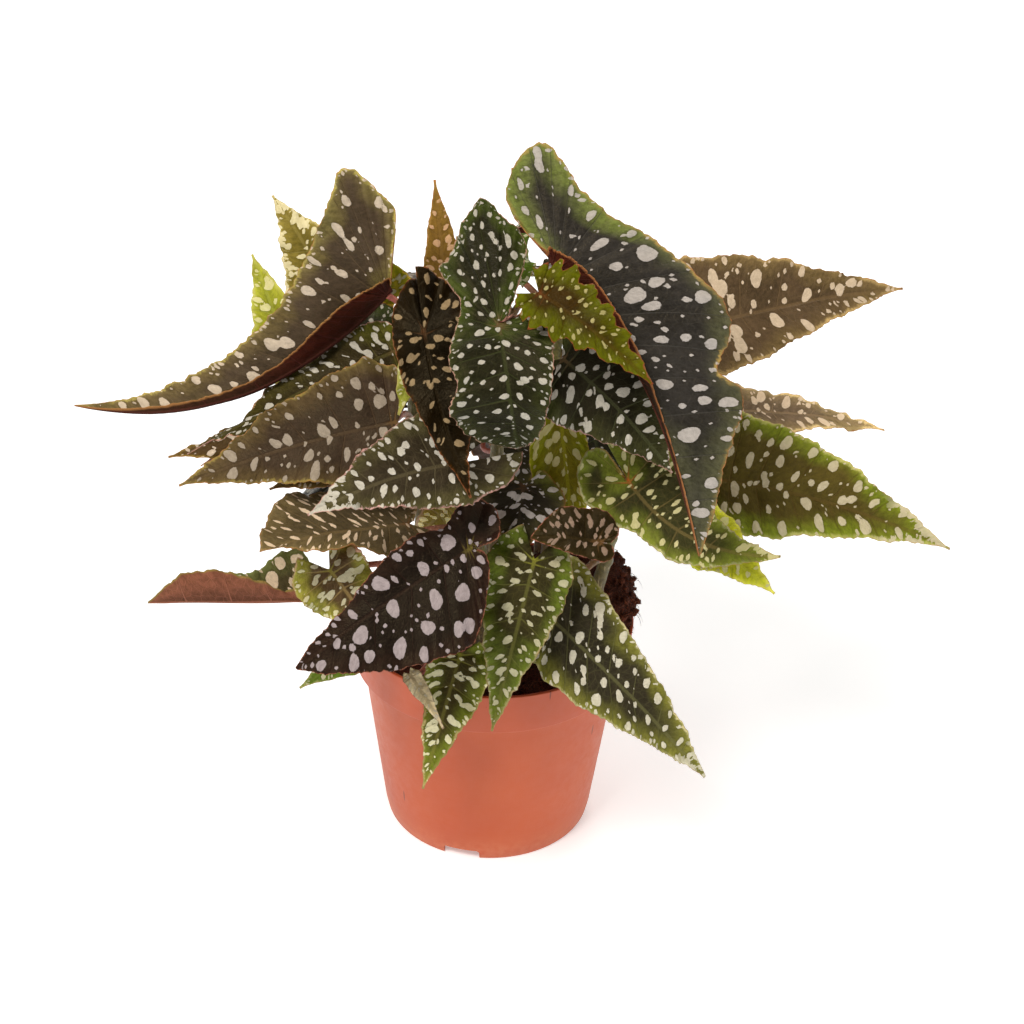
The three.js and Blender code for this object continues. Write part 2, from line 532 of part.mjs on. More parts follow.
function potGeometry() {
  const profile = [
    [0, 0], [standRadius, 0], [standRadius + draft, channelRise],
    [footRadius - footWidth - draft, channelRise], [footRadius - footWidth, 0],
    [footRadius, 0], [baseRadius, footHeight],
    [shoulderRadius, collarBottom - edgeBevel], [collarRadius, collarBottom],
    [rimRadius, potHeight - edgeBevel], [rimRadius - edgeBevel, potHeight],
    ...potInside.toReversed(),
    [standRadius + wall, floor], [standRadius - wall, wall], [0, wall],
  ];
  let pot = solidOf(turned(profile, potSides));
  const notchWidth = 2 * baseRadius * Math.sin(notchAngle / 2);
  for (let i = 0; i < notchCount; i += 1) {
    const angle = firstNotch + 2 * Math.PI * i / notchCount;
    const block = placed(new THREE.BoxGeometry(4 * footWidth, notchWidth, 2 * notchHeight),
      footRadius * Math.cos(angle), footRadius * Math.sin(angle), 0, angle);
    pot = pot.subtract(solidOf(block));
  }
  for (let i = 0; i < drainCount; i += 1) {
    const angle = firstNotch + 2 * Math.PI * (i + 0.5) / drainCount;
    const drill = new THREE.CylinderGeometry(drainRadius, drainRadius, 4 * wall, drainSides);
    const hole = placed(drill.rotateX(Math.PI / 2),
      drainCircle * Math.cos(angle), drainCircle * Math.sin(angle), floor);
    pot = pot.subtract(solidOf(hole));
  }
  return geometryFrom(pot);
}

// Peat: fills the pot, and heaps over the rim on one side
function peatGeometry(stems) {
  const low = floor + clearance;
  const flat = potHeight - peatDrop;
  const inner = rimRadius - wall;
  const outer = rimRadius + heapOverhang;
  const crest = potHeight + heapHeight;
  const rings = [
    ...potInside.slice(0, -1).map(([r, z]) => ({ r: r - clearance - 0.05, z: Math.max(z, low) })),
    { r: collarRadius - wall, z: flat - 1, heap: [inner - 0.8, potHeight + 0.8] },
    { r: 0.88 * inner, z: flat + 0.5, heap: [outer, potHeight + 0.2 * heapHeight] },
    { r: 0.74 * inner, z: flat + 0.5, heap: [outer - 1, potHeight + 0.5 * heapHeight] },
    { r: 0.58 * inner, z: flat + 1, heap: [0.93 * inner, crest - 2] },
    { r: 0.38 * inner, z: flat + 2, heap: [0.65 * inner, crest] },
    { r: 0.17 * inner, z: flat + 3.5, heap: [0.3 * inner, crest - 8] },
  ];
  const points = [new THREE.Vector3(0, 0, low)];
  rings.forEach((ring, j) => {
    for (let k = 0; k < potSides; k += 1) {
      const angle = 2 * Math.PI * k / potSides;
      const off = Math.abs(Math.atan2(Math.sin(angle - heapAzimuth), Math.cos(angle - heapAzimuth)));
      const share = ring.heap ? smooth(1 - off / heapHalfWidth) : 0;
      const lump = j > 4 ? crumbHeight * Math.sin(5 * angle + 1.9 * j) * Math.cos(3 * angle - 2.3 * j) : 0;
      const r = lerp(ring.r, ring.heap?.[0] ?? ring.r, share);
      const z = lerp(ring.z, ring.heap?.[1] ?? ring.z, share) + lump;
      points.push(new THREE.Vector3(r * Math.cos(angle), r * Math.sin(angle), z));
    }
  });
  points.push(new THREE.Vector3(0, 0, flat + 5));
  const triangles = [];
  const last = points.length - 1;
  for (let k = 0; k < potSides; k += 1) {
    const next = (k + 1) % potSides;
    triangles.push([0, 1 + next, 1 + k]);
    for (let j = 0; j < rings.length - 1; j += 1) {
      const [a, b] = [1 + j * potSides + k, 1 + j * potSides + next];
      triangles.push([a, b, b + potSides], [a, b + potSides, a + potSides]);
    }
    const [a, b] = [1 + (rings.length - 1) * potSides + k, 1 + (rings.length - 1) * potSides + next];
    triangles.push([a, b, last]);
  }
  let peat = solidOf(geometryOf(points, triangles));
  for (const stem of stems) peat = peat.subtract(stem);
  return geometryFrom(peat);
}

// Canes, each with the petioles of its leaves grown into it
function caneCurve(cane) {
  const base = vec(cane.base);
  const top = vec(cane.top);
  const middle = base.clone().lerp(top, 0.5).add(vec(cane.bow));
  const foot = base.clone().sub(new THREE.Vector3(0, 0, caneDepth));
  return new THREE.CatmullRomCurve3([foot, base, middle, top]);
}

function petioleCurve(leaf, cane) {
  const { frame } = leafSurface(leaf);
  const f = frame(petioleInset);
  const tilt = rad((leaf.left[2] - leaf.right[2]) / 2);
  const slant = Math.max(sharpestSlant, Math.cos(rad((leaf.left[2] + leaf.right[2]) / 2)));
  const out = f.normal.clone().multiplyScalar(Math.cos(tilt)).addScaledVector(f.right, Math.sin(tilt));
  const end = f.centre.clone().addScaledVector(out, -bladeThickness / slant - petioleGap);
  const start = caneCurve(cane).getPointAt(leaf.at);
  const reach = end.distanceTo(start);
  const leave = start.clone().lerp(end, 1 / 3).add(new THREE.Vector3(0, 0, petioleRise * reach));
  const arrive = end.clone().addScaledVector(out, -Math.min(petioleArrival, reach / 3));
  return new THREE.CubicBezierCurve3(start, leave, arrive, end);
}

const caneRadiusAt = (s) => lerp(caneRadius, caneTopRadius, s);
const petioleRadiusAt = (s) => lerp(petioleRadius, petioleTipRadius, s);

function caneSolid(name) {
  const cane = canes[name];
  const curve = caneCurve(cane);
  let solid = solidOf(stemGeometry(curve, caneSteps, caneSides, caneRadiusAt));
  for (const leaf of leaves.filter((l) => l.cane === name)) {
    const petiole = stemGeometry(petioleCurve(leaf, cane), petioleSteps, petioleSides, petioleRadiusAt);
    solid = solid.add(solidOf(petiole));
  }
  return solid;
}

function holeSolid(cane) {
  return solidOf(stemGeometry(caneCurve(cane), caneSteps, caneSides, (s) => caneRadiusAt(s) + 2 * clearance));
}

const group = new THREE.Group();

function addPiece(name, geometry, finish) {
  geometry.computeVertexNormals();
  const material = new THREE.MeshStandardMaterial({ metalness: 0, ...finishes[finish] });
  const mesh = new THREE.Mesh(geometry, material);
  mesh.name = name;
  group.add(mesh);
}

addPiece('pot', potGeometry(), 'pot');
addPiece('peat', peatGeometry(Object.values(canes).map(holeSolid)), 'peat');
for (const name of Object.keys(canes)) addPiece(`cane_${name}`, geometryFrom(caneSolid(name)), 'cane');
for (const leaf of leaves) addPiece(leaf.name, bladeGeometry(leaf), leaf.finish);

export default group;
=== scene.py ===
import math
import random

import bmesh
import bpy
import numpy as np
from mathutils import Matrix, Vector


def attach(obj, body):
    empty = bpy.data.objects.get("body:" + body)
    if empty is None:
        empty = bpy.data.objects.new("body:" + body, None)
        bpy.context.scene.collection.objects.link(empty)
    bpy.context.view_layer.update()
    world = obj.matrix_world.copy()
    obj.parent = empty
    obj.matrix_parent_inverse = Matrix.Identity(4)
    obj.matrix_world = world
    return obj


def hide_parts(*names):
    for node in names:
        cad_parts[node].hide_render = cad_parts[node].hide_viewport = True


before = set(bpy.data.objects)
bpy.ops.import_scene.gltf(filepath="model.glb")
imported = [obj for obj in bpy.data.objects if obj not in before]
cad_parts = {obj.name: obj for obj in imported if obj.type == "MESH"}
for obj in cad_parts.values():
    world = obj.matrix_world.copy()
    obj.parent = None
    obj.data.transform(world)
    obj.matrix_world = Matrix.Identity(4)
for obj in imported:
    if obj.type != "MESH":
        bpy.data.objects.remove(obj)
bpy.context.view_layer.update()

mm = 0.001


# Camera: the photograph's height, framing and slight turn
cameraView = {
    "eye": (0, -0.85, 0.6736), "aim": (0.0072, 0, 0.1478), "lens": 85.2, "sensor": 36, "turn": 0.029,
}


def makeCamera():
    eye, aim = Vector(cameraView["eye"]), Vector(cameraView["aim"])
    forward = (aim - eye).normalized()
    right = forward.cross(Vector((0, 0, 1))).normalized()
    up = right.cross(forward)
    cosTurn, sinTurn = math.cos(cameraView["turn"]), math.sin(cameraView["turn"])
    right, up = cosTurn * right + sinTurn * up, cosTurn * up - sinTurn * right
    data = bpy.data.cameras.new("camera")
    data.sensor_width = cameraView["sensor"]
    data.lens = cameraView["lens"]
    data.clip_start, data.clip_end = 0.01, 20
    camera = bpy.data.objects.new("camera", data)
    bpy.context.scene.collection.objects.link(camera)
    place = Matrix((right, up, -forward)).transposed().to_4x4()
    place.translation = eye
    camera.matrix_world = place
    bpy.context.scene.camera = camera


makeCamera()
print("camera done")


# Small helpers for colours, meshes and shader nodes

def srgb(red, green, blue):
    # A colour as a paint program shows it, 0 to 255, for a shader socket
    values = [c / 255 for c in (red, green, blue)]
    return tuple(c / 12.92 if c < 0.04045 else ((c + 0.055) / 1.055) ** 2.4 for c in values) + (1,)


def smooth(t):
    t = np.clip(t, 0, 1)
    return t * t * (3 - 2 * t)


def unit(v):
    return v / np.maximum(np.linalg.norm(v, axis=-1, keepdims=True), 1e-12)


def addPiece(name, points, faces, materials, replaced=(), faceMaterials=None, values=None):
    # points in mm, in the row frame; values holds named numbers for each point
    mesh = bpy.data.meshes.new(name)
    mesh.from_pydata((np.asarray(points) * mm).tolist(), [], faces)
    for material in materials:
        mesh.materials.append(material)
    if faceMaterials is not None:
        mesh.polygons.foreach_set("material_index", np.asarray(faceMaterials, dtype=np.int32))
    for key, data in (values or {}).items():
        data = np.asarray(data, dtype=np.float32)
        if data.ndim == 1:
            mesh.attributes.new(key, "FLOAT", "POINT").data.foreach_set("value", data)
        else:
            mesh.attributes.new(key, "FLOAT_VECTOR", "POINT").data.foreach_set("vector", data.ravel())
    mesh.polygons.foreach_set("use_smooth", np.ones(len(mesh.polygons), dtype=bool))
    mesh.update()
    piece = bpy.data.objects.new(name, mesh)
    bpy.context.scene.collection.objects.link(piece)
    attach(piece, "root")
    if replaced:
        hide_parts(*replaced)
    return piece


def feed(tree, socket, value):
    if isinstance(value, bpy.types.NodeSocket):
        tree.links.new(value, socket)
    else:
        socket.default_value = value


def calc(tree, operation, *values, clamp=False):
    node = tree.nodes.new("ShaderNodeMath")
    node.operation = operation
    node.use_clamp = clamp
    for socket, value in zip(node.inputs, values):
        feed(tree, socket, value)
    return node.outputs[0]


def ramp(tree, value, low, high, start=0.0, end=1.0):
    # A soft step from start to end while value goes from low to high
    node = tree.nodes.new("ShaderNodeMapRange")
    node.interpolation_type = "SMOOTHSTEP"
    for socket, number in zip(node.inputs, (value, low, high, start, end)):
        feed(tree, socket, number)
    return node.outputs[0]


def blendColour(tree, share, first, second, how="MIX"):
    node = tree.nodes.new("ShaderNodeMix")
    node.data_type = "RGBA"
    node.blend_type = how
    feed(tree, node.inputs[0], share)
    feed(tree, node.inputs[6], first)
    feed(tree, node.inputs[7], second)
    return node.outputs[2]


def vectorCalc(tree, operation, first, second, scale=None):
    node = tree.nodes.new("ShaderNodeVectorMath")
    node.operation = operation
    feed(tree, node.inputs[0], first)
    feed(tree, node.inputs[1], second)
    if scale is not None:
        feed(tree, node.inputs[3], scale)
    return node.outputs[0]


def noise(tree, place, scale, detail=2.0, roughness=0.5):
    node = tree.nodes.new("ShaderNodeTexNoise")
    feed(tree, node.inputs["Vector"], place)
    feed(tree, node.inputs["Scale"], scale)
    feed(tree, node.inputs["Detail"], detail)
    feed(tree, node.inputs["Roughness"], roughness)
    return node


def cells(tree, place, scale, feature="F1", spread=1.0):
    node = tree.nodes.new("ShaderNodeTexVoronoi")
    node.voronoi_dimensions = "2D"
    node.feature = feature
    feed(tree, node.inputs["Vector"], place)
    feed(tree, node.inputs["Scale"], scale)
    feed(tree, node.inputs["Randomness"], spread)
    return node


def attribute(tree, name):
    node = tree.nodes.new("ShaderNodeAttribute")
    node.attribute_name = name
    return node


def startGroup(name, inputs, outputs):
    # inputs and outputs: name and kind of each socket, and an input's usual value
    tree = bpy.data.node_groups.new(name, "ShaderNodeTree")
    for key, kind, usual in inputs:
        socket = tree.interface.new_socket(key, in_out="INPUT", socket_type="NodeSocket" + kind)
        if usual is not None:
            socket.default_value = usual
    for key, kind in outputs:
        tree.interface.new_socket(key, in_out="OUTPUT", socket_type="NodeSocket" + kind)
    given = tree.nodes.new("NodeGroupInput").outputs
    result = tree.nodes.new("NodeGroupOutput").inputs
    return tree, given, result


def useGroup(tree, group, **values):
    # Socket names are given with their spaces left out
    node = tree.nodes.new("ShaderNodeGroup")
    node.node_tree = group
    for socket in node.inputs:
        key = socket.name.replace(" ", "")
        if key in values:
            feed(tree, socket, values[key])
    return node.outputs


def startMaterial(name):
    material = bpy.data.materials.new(name)
    material.use_nodes = True
    tree = material.node_tree
    tree.nodes.clear()
    skin = tree.nodes.new("ShaderNodeBsdfPrincipled")
    out = tree.nodes.new("ShaderNodeOutputMaterial")
    tree.links.new(skin.outputs[0], out.inputs["Surface"])
    return material, tree, skin, out


def bump(tree, skin, height, depth, strength=1.0):
    node = tree.nodes.new("ShaderNodeBump")
    node.inputs["Strength"].default_value = strength
    node.inputs["Distance"].default_value = depth
    feed(tree, node.inputs["Height"], height)
    tree.links.new(node.outputs[0], skin.inputs["Normal"])
    return node


# Effects that several materials share

def makeVeinGroup():
    # Main veins: Veins holds the vein count so far, mm from vein to vein, and mm to the midrib
    tree, given, result = startGroup(
        "leafVeins",
        [("Veins", "Vector", None), ("Place", "Vector", None), ("Across", "Float", 0.5)],
        [("Distance", "Float"), ("Lines", "Float"), ("Net", "Float")])
    parts = tree.nodes.new("ShaderNodeSeparateXYZ")
    feed(tree, parts.inputs[0], given["Veins"])
    count, spacing, midrib = parts.outputs
    off = calc(tree, "ABSOLUTE", calc(tree, "SUBTRACT", count, calc(tree, "ROUND", count)))
    lateral = calc(tree, "MULTIPLY", off, spacing)
    width = calc(tree, "MULTIPLY_ADD", given["Across"], -0.32, 0.5)
    lateralLine = calc(tree, "SUBTRACT", 1.0, ramp(tree, calc(tree, "DIVIDE", lateral, width), 0.35, 1.1))
    midribLine = ramp(tree, midrib, 0.4, 1.0, 1.0, 0.0)
    feed(tree, result["Distance"], calc(tree, "MINIMUM", lateral, midrib))
    feed(tree, result["Lines"], calc(tree, "MAXIMUM", lateralLine, midribLine))
    shifted = noise(tree, given["Place"], 0.4).outputs["Color"]
    place = vectorCalc(tree, "ADD", given["Place"], shifted)
    fine = cells(tree, place, 0.34, "DISTANCE_TO_EDGE").outputs["Distance"]
    finer = cells(tree, place, 0.9, "DISTANCE_TO_EDGE").outputs["Distance"]
    net = calc(tree, "MAXIMUM", ramp(tree, fine, 0.02, 0.09, 1.0, 0.0),
               ramp(tree, finer, 0.02, 0.12, 0.5, 0.0))
    feed(tree, result["Net"], net)
    return tree


def makeDotGroup():
    # Silver marks: dots laid out on the blade, specks that crowd along the margin, and merged
    # patches. Inside is how many mm a point lies inside the nearest dot.
    tree, given, result = startGroup(
        "silverMarks",
        [("Place", "Vector", None), ("Inside", "Float", -3.0), ("Margin", "Float", 10.0),
         ("Along", "Float", 0.5), ("Edge Dots", "Float", 1.0), ("Edge Width", "Float", 4.0),
         ("Patch", "Float", 0.0), ("Patch From", "Float", 0.7)],
        [("Dots", "Float"), ("Halo", "Float")])
    wobble = calc(tree, "SUBTRACT", noise(tree, given["Place"], 0.9, 3.0, 0.6).outputs[0], 0.5)
    inside = calc(tree, "MULTIPLY_ADD", wobble, 0.9, given["Inside"])
    mask = ramp(tree, inside, -0.12, 0.12)
    bent = vectorCalc(tree, "SCALE", noise(tree, given["Place"], 0.7).outputs["Color"], (0, 0, 0), 1.4)
    grid = cells(tree, vectorCalc(tree, "ADD", given["Place"], bent), 0.42)
    # Specks: one in some cells of a bent grid, more and larger near the margin
    draw = tree.nodes.new("ShaderNodeSeparateColor")
    feed(tree, draw.inputs[0], grid.outputs["Color"])
    edgeWidth = given["Edge Width"]
    crowd = ramp(tree, given["Margin"], calc(tree, "MULTIPLY", edgeWidth, 0.25), edgeWidth,
                 1.0, 0.0)
    least = calc(tree, "MULTIPLY_ADD", calc(tree, "MULTIPLY", crowd, given["Edge Dots"]), -0.72, 0.93)
    radius = ramp(tree, draw.outputs[0], least, 1.0, 0.0, 1.1)
    speck = calc(tree, "SUBTRACT", radius, calc(tree, "MULTIPLY", grid.outputs["Distance"], 2.4))
    speck = calc(tree, "MULTIPLY", ramp(tree, speck, -0.05, 0.15), ramp(tree, inside, -1.1, -0.6, 1.0, 0.0))
    mask = calc(tree, "MAXIMUM", mask, speck)
    # Patches: silver that runs in from the margin with a wandering edge
    flow = noise(tree, given["Place"], 0.22, 3.0, 0.55).outputs[0]
    patchTo = calc(tree, "ADD", given["Patch From"], 0.35)
    reach = calc(tree, "MULTIPLY", given["Patch"],
                 ramp(tree, given["Along"], given["Patch From"], patchTo))
    patch = calc(tree, "MULTIPLY_ADD", calc(tree, "SUBTRACT", flow, 0.5), 22.0,
                 calc(tree, "SUBTRACT", reach, given["Margin"]))
    patch = calc(tree, "MULTIPLY", ramp(tree, patch, -0.2, 0.2), ramp(tree, reach, 0.1, 1.0))
    mask = calc(tree, "MAXIMUM", mask, patch)
    feed(tree, result["Dots"], mask)
    halo = calc(tree, "MULTIPLY", ramp(tree, inside, -1.0, -0.1), calc(tree, "SUBTRACT", 1.0, mask))
    feed(tree, result["Halo"], halo)
    return tree


def makeMottleGroup():
    # Slow and quick changes of tone over a grown surface, in mm
    tree, given, result = startGroup(
        "mottle", [("Place", "Vector", None), ("Slow Scale", "Float", 0.05), ("Quick Scale", "Float", 0.6)],
        [("Slow", "Float"), ("Quick", "Float")])
    slow = noise(tree, given["Place"], given["Slow Scale"]).outputs[0]
    feed(tree, result["Slow"], ramp(tree, slow, 0.3, 0.7))
    quick = noise(tree, given["Place"], given["Quick Scale"], 4.0, 0.6).outputs[0]
    feed(tree, result["Quick"], ramp(tree, quick, 0.25, 0.75))
    return tree


veinGroup = makeVeinGroup()
dotGroup = makeDotGroup()
mottleGroup = makeMottleGroup()


# Leaf finishes, with colours from 0 to 255. heart, outer: the middle and the outer blade. lobe: the
# basal lobes near the margin. rib: midrib and veins. fringe: the pale band along the margin,
# partly the leaf's own pale edge and partly painted glow of light through the thin margin. crust:
# its dry rim. under: the underside, and underFade how far it takes the heart colour towards the tip.
# star: the mark where the petiole joins. sizes: radius of the dots and the gap between them, in mm,
# layer by layer. stretch: how long they are. edge: how many specks crowd along the margin. patch,
# patchFrom: how far the silver reaches in from the margin, in mm, and from which share of the length.
# fringeWidth: mm. glow: share of light let through.
leafLooks = {
    "olive": dict(
        heart=(46, 33, 21), outer=(80, 62, 32), rib=(80, 60, 36), dots=(198, 184, 166),
        fringe=(156, 132, 60), crust=(176, 124, 74), under=(52, 13, 7), star=(116, 84, 40),
        lobe=(86, 72, 34), underFade=0.6,
        sizes=((2.6, 6.6), (1.4, 5.0), (0.6, 3.8)), stretch=1.9, edge=0.5, fringeWidth=1.7, glow=0.14),
    "charcoal": dict(
        heart=(30, 27, 20), outer=(62, 60, 34), rib=(62, 58, 44), dots=(188, 182, 178),
        fringe=(150, 122, 56), crust=(176, 116, 72), under=(56, 17, 9), star=(90, 60, 36),
        lobe=(94, 102, 34), underFade=0.9,
        sizes=((3.0, 9.5), (1.8, 7.0), (0.6, 3.6)), stretch=2.2, edge=0.4, fringeWidth=1.8, glow=0.12),
    "wavy": dict(
        heart=(20, 17, 11), outer=(36, 30, 16), rib=(44, 38, 22), dots=(160, 138, 104),
        fringe=(112, 84, 50), crust=(140, 84, 52), under=(60, 24, 14), star=(90, 60, 36),
        sizes=((1.6, 5.2), (0.8, 4.4)), stretch=1.8, edge=0.3, fringeWidth=1.4, glow=0.06),
    "black": dict(
        heart=(16, 12, 10), outer=(40, 30, 22), rib=(52, 39, 30), dots=(184, 172, 176),
        fringe=(104, 78, 58), crust=(150, 92, 70), under=(50, 20, 16), star=(120, 110, 50),
        lobe=(46, 34, 24),
        sizes=((3.3, 5.0), (1.8, 3.6), (0.8, 2.8)), stretch=1.6, edge=0.4, fringeWidth=1.0, glow=0.04),
    "dark": dict(
        heart=(21, 21, 11), outer=(42, 46, 20), rib=(66, 74, 42), dots=(200, 196, 184), lobe=(60, 74, 24),
        fringe=(170, 160, 136), crust=(182, 132, 118), under=(74, 34, 24), star=(110, 80, 56),
        sizes=((1.6, 3.4), (1.0, 2.8), (0.5, 2.6)), stretch=1.9, edge=0.9, fringeWidth=1.0, glow=0.06),
    "silver": dict(
        heart=(28, 30, 16), outer=(50, 58, 26), rib=(70, 78, 46), dots=(206, 202, 190),
        fringe=(176, 166, 140), crust=(182, 132, 118), under=(74, 34, 24), star=(110, 80, 56),
        sizes=((1.5, 3.4), (0.9, 2.8)), stretch=1.9, edge=0.9, patch=3.4, patchFrom=0.6,
        fringeWidth=1.2, glow=0.08),
    "forest": dict(
        heart=(20, 22, 9), outer=(72, 84, 22), rib=(70, 82, 36), dots=(204, 200, 182),
        fringe=(150, 166, 96), crust=(168, 150, 108), under=(84, 54, 30), star=(190, 176, 58),
        sizes=((1.9, 3.6), (1.2, 3.0), (0.6, 2.8)), stretch=1.8, edge=0.9, patch=1.6, patchFrom=0.7,
        fringeWidth=1.4, glow=0.12),
    "rose": dict(
        heart=(64, 48, 28), outer=(96, 76, 40), rib=(104, 80, 46), dots=(206, 188, 164),
        fringe=(184, 150, 84), crust=(170, 104, 56), under=(132, 84, 56), star=(130, 80, 50),
        sizes=((3.0, 5.4), (1.6, 4.6), (0.7, 4.0)), stretch=2.0, edge=0.4, fringeWidth=2.0, glow=0.16),
    "folded": dict(
        heart=(70, 50, 34), outer=(104, 88, 50), rib=(120, 84, 56), dots=(206, 188, 164),
        fringe=(150, 140, 84), crust=(146, 132, 66), under=(126, 78, 60), star=(130, 80, 50),
        sizes=((2.6, 4.6), (1.5, 4.0), (0.7, 4.0)), stretch=2.0, edge=0.3, fringeWidth=1.8, glow=0.16),
    "brown": dict(
        heart=(38, 26, 19), outer=(60, 44, 30), rib=(78, 56, 36), dots=(160, 136, 118),
        fringe=(150, 116, 92), crust=(164, 100, 84), under=(80, 40, 28), star=(112, 80, 48),
        sizes=((1.6, 2.8), (0.9, 2.4)), stretch=3.0, edge=0.5, fringeWidth=1.4, glow=0.08),
    "striped": dict(
        heart=(52, 40, 26), outer=(74, 58, 36), rib=(92, 70, 44), dots=(176, 158, 136),
        fringe=(140, 108, 66), crust=(150, 90, 54), under=(120, 72, 48), star=(130, 80, 50),
        sizes=((1.4, 2.6), (0.8, 2.2)), stretch=4.5, edge=0.3, fringeWidth=1.4, glow=0.12),
    "moss": dict(
        heart=(58, 48, 18), outer=(94, 102, 24), rib=(76, 56, 28), dots=(198, 188, 160),
        fringe=(178, 168, 104), crust=(190, 158, 110), under=(120, 82, 52), star=(130, 96, 44),
        sizes=((2.7, 4.8), (1.7, 4.0), (0.7, 3.4)), stretch=2.0, edge=0.6, patch=2.4, patchFrom=0.6,
        fringeWidth=2.0, glow=0.16),
    "bright": dict(
        heart=(34, 36, 13), outer=(78, 104, 24), rib=(100, 114, 46), dots=(196, 192, 160),
        fringe=(170, 176, 110), crust=(160, 130, 84), under=(110, 84, 52), star=(150, 150, 50),
        sizes=((1.9, 3.6), (1.2, 3.0), (0.6, 2.8)), stretch=1.9, edge=0.8, fringeWidth=1.5, glow=0.16),
    "hanging": dict(
        heart=(50, 44, 10), outer=(74, 76, 18), rib=(96, 94, 34), dots=(158, 150, 108),
        fringe=(150, 140, 84), crust=(170, 130, 90), under=(110, 84, 52), star=(120, 80, 36),
        sizes=((1.8, 3.4), (1.1, 3.0)), stretch=2.0, edge=0.7, fringeWidth=1.2, glow=0.2),
    "toothed": dict(
        heart=(62, 48, 6), outer=(116, 138, 6), rib=(104, 84, 16), dots=(206, 196, 134),
        fringe=(150, 150, 20), crust=(150, 70, 48), under=(120, 84, 50), star=(110, 56, 24),
        sizes=((0.9, 4.4), (0.45, 3.4)), stretch=1.4, edge=0.1, fringeWidth=1.0, glow=0.2),
    "glossy": dict(
        heart=(30, 34, 9), outer=(88, 104, 22), rib=(100, 92, 38), dots=(180, 174, 130),
        fringe=(160, 168, 96), crust=(170, 140, 80), under=(110, 84, 46), star=(196, 92, 36),
        sizes=((1.5, 4.0), (0.9, 3.4)), stretch=2.4, edge=0.6, patch=2.0, patchFrom=0.7,
        fringeWidth=1.5, glow=0.18),
    "lime": dict(
        heart=(108, 112, 30), outer=(154, 158, 52), rib=(160, 166, 82), dots=(220, 216, 166),
        fringe=(200, 198, 128), crust=(196, 180, 100), under=(160, 150, 80), star=(170, 150, 60),
        sizes=((2.0, 3.0), (1.2, 2.6)), stretch=1.8, edge=0.8, fringeWidth=2.0, glow=0.25),
    "cream": dict(
        heart=(92, 82, 34), outer=(136, 122, 60), rib=(150, 138, 84), dots=(228, 220, 180),
        fringe=(222, 212, 164), crust=(204, 184, 126), under=(170, 150, 100), star=(140, 110, 60),
        sizes=((1.8, 2.8), (1.1, 2.4)), stretch=1.8, edge=0.8, patch=1.4, patchFrom=-0.3,
        fringeWidth=1.6, glow=0.25),
    "gold": dict(
        heart=(92, 64, 26), outer=(126, 92, 36), rib=(134, 98, 50), dots=(206, 168, 132),
        fringe=(180, 134, 70), crust=(180, 112, 46), under=(140, 84, 44), star=(150, 100, 44),
        sizes=((1.6, 2.6), (1.0, 2.2)), stretch=1.6, edge=0.3, fringeWidth=1.2, glow=0.2),
    "dried": dict(
        heart=(128, 118, 86), outer=(166, 154, 122), rib=(118, 102, 76), dots=(200, 192, 170),
        fringe=(190, 180, 150), crust=(130, 102, 70), under=(150, 136, 108), star=(120, 100, 70),
        sizes=((1.0, 3.0),), stretch=1.2, edge=0.2, fringeWidth=1.0, glow=0.1),
}
# What all leaf finishes share: gloss, the darkest tone and how much slow and quick mottling adds,
# how strongly fine net, veins, the dots and their dark halo show, and the relief in mm. The bands
# are mm from the margin or the joint over which the outer colour, the dry rim and the star fade.
leafSkin = {
    "roughness": 0.36, "dotRoughness": 0.5, "underRoughness": 0.6, "specular": 0.13,
    "specularTint": (1.0, 0.84, 0.55, 1), "darkest": 0.52, "slowTone": 0.6, "quickTone": 0.64,
    "net": 0.12, "lines": 0.38, "halo": 0.3, "dotCover": 0.95, "relief": 0.42, "underRelief": 0.35,
    "outerBand": (2.0, 13.0), "lobeBand": (2.5, 12.0), "lobeTo": 0.28, "crustBand": (0.2, 0.6),
    "starBand": (0.9, 2.6), "rayBand": (2.0, 7.0),
}


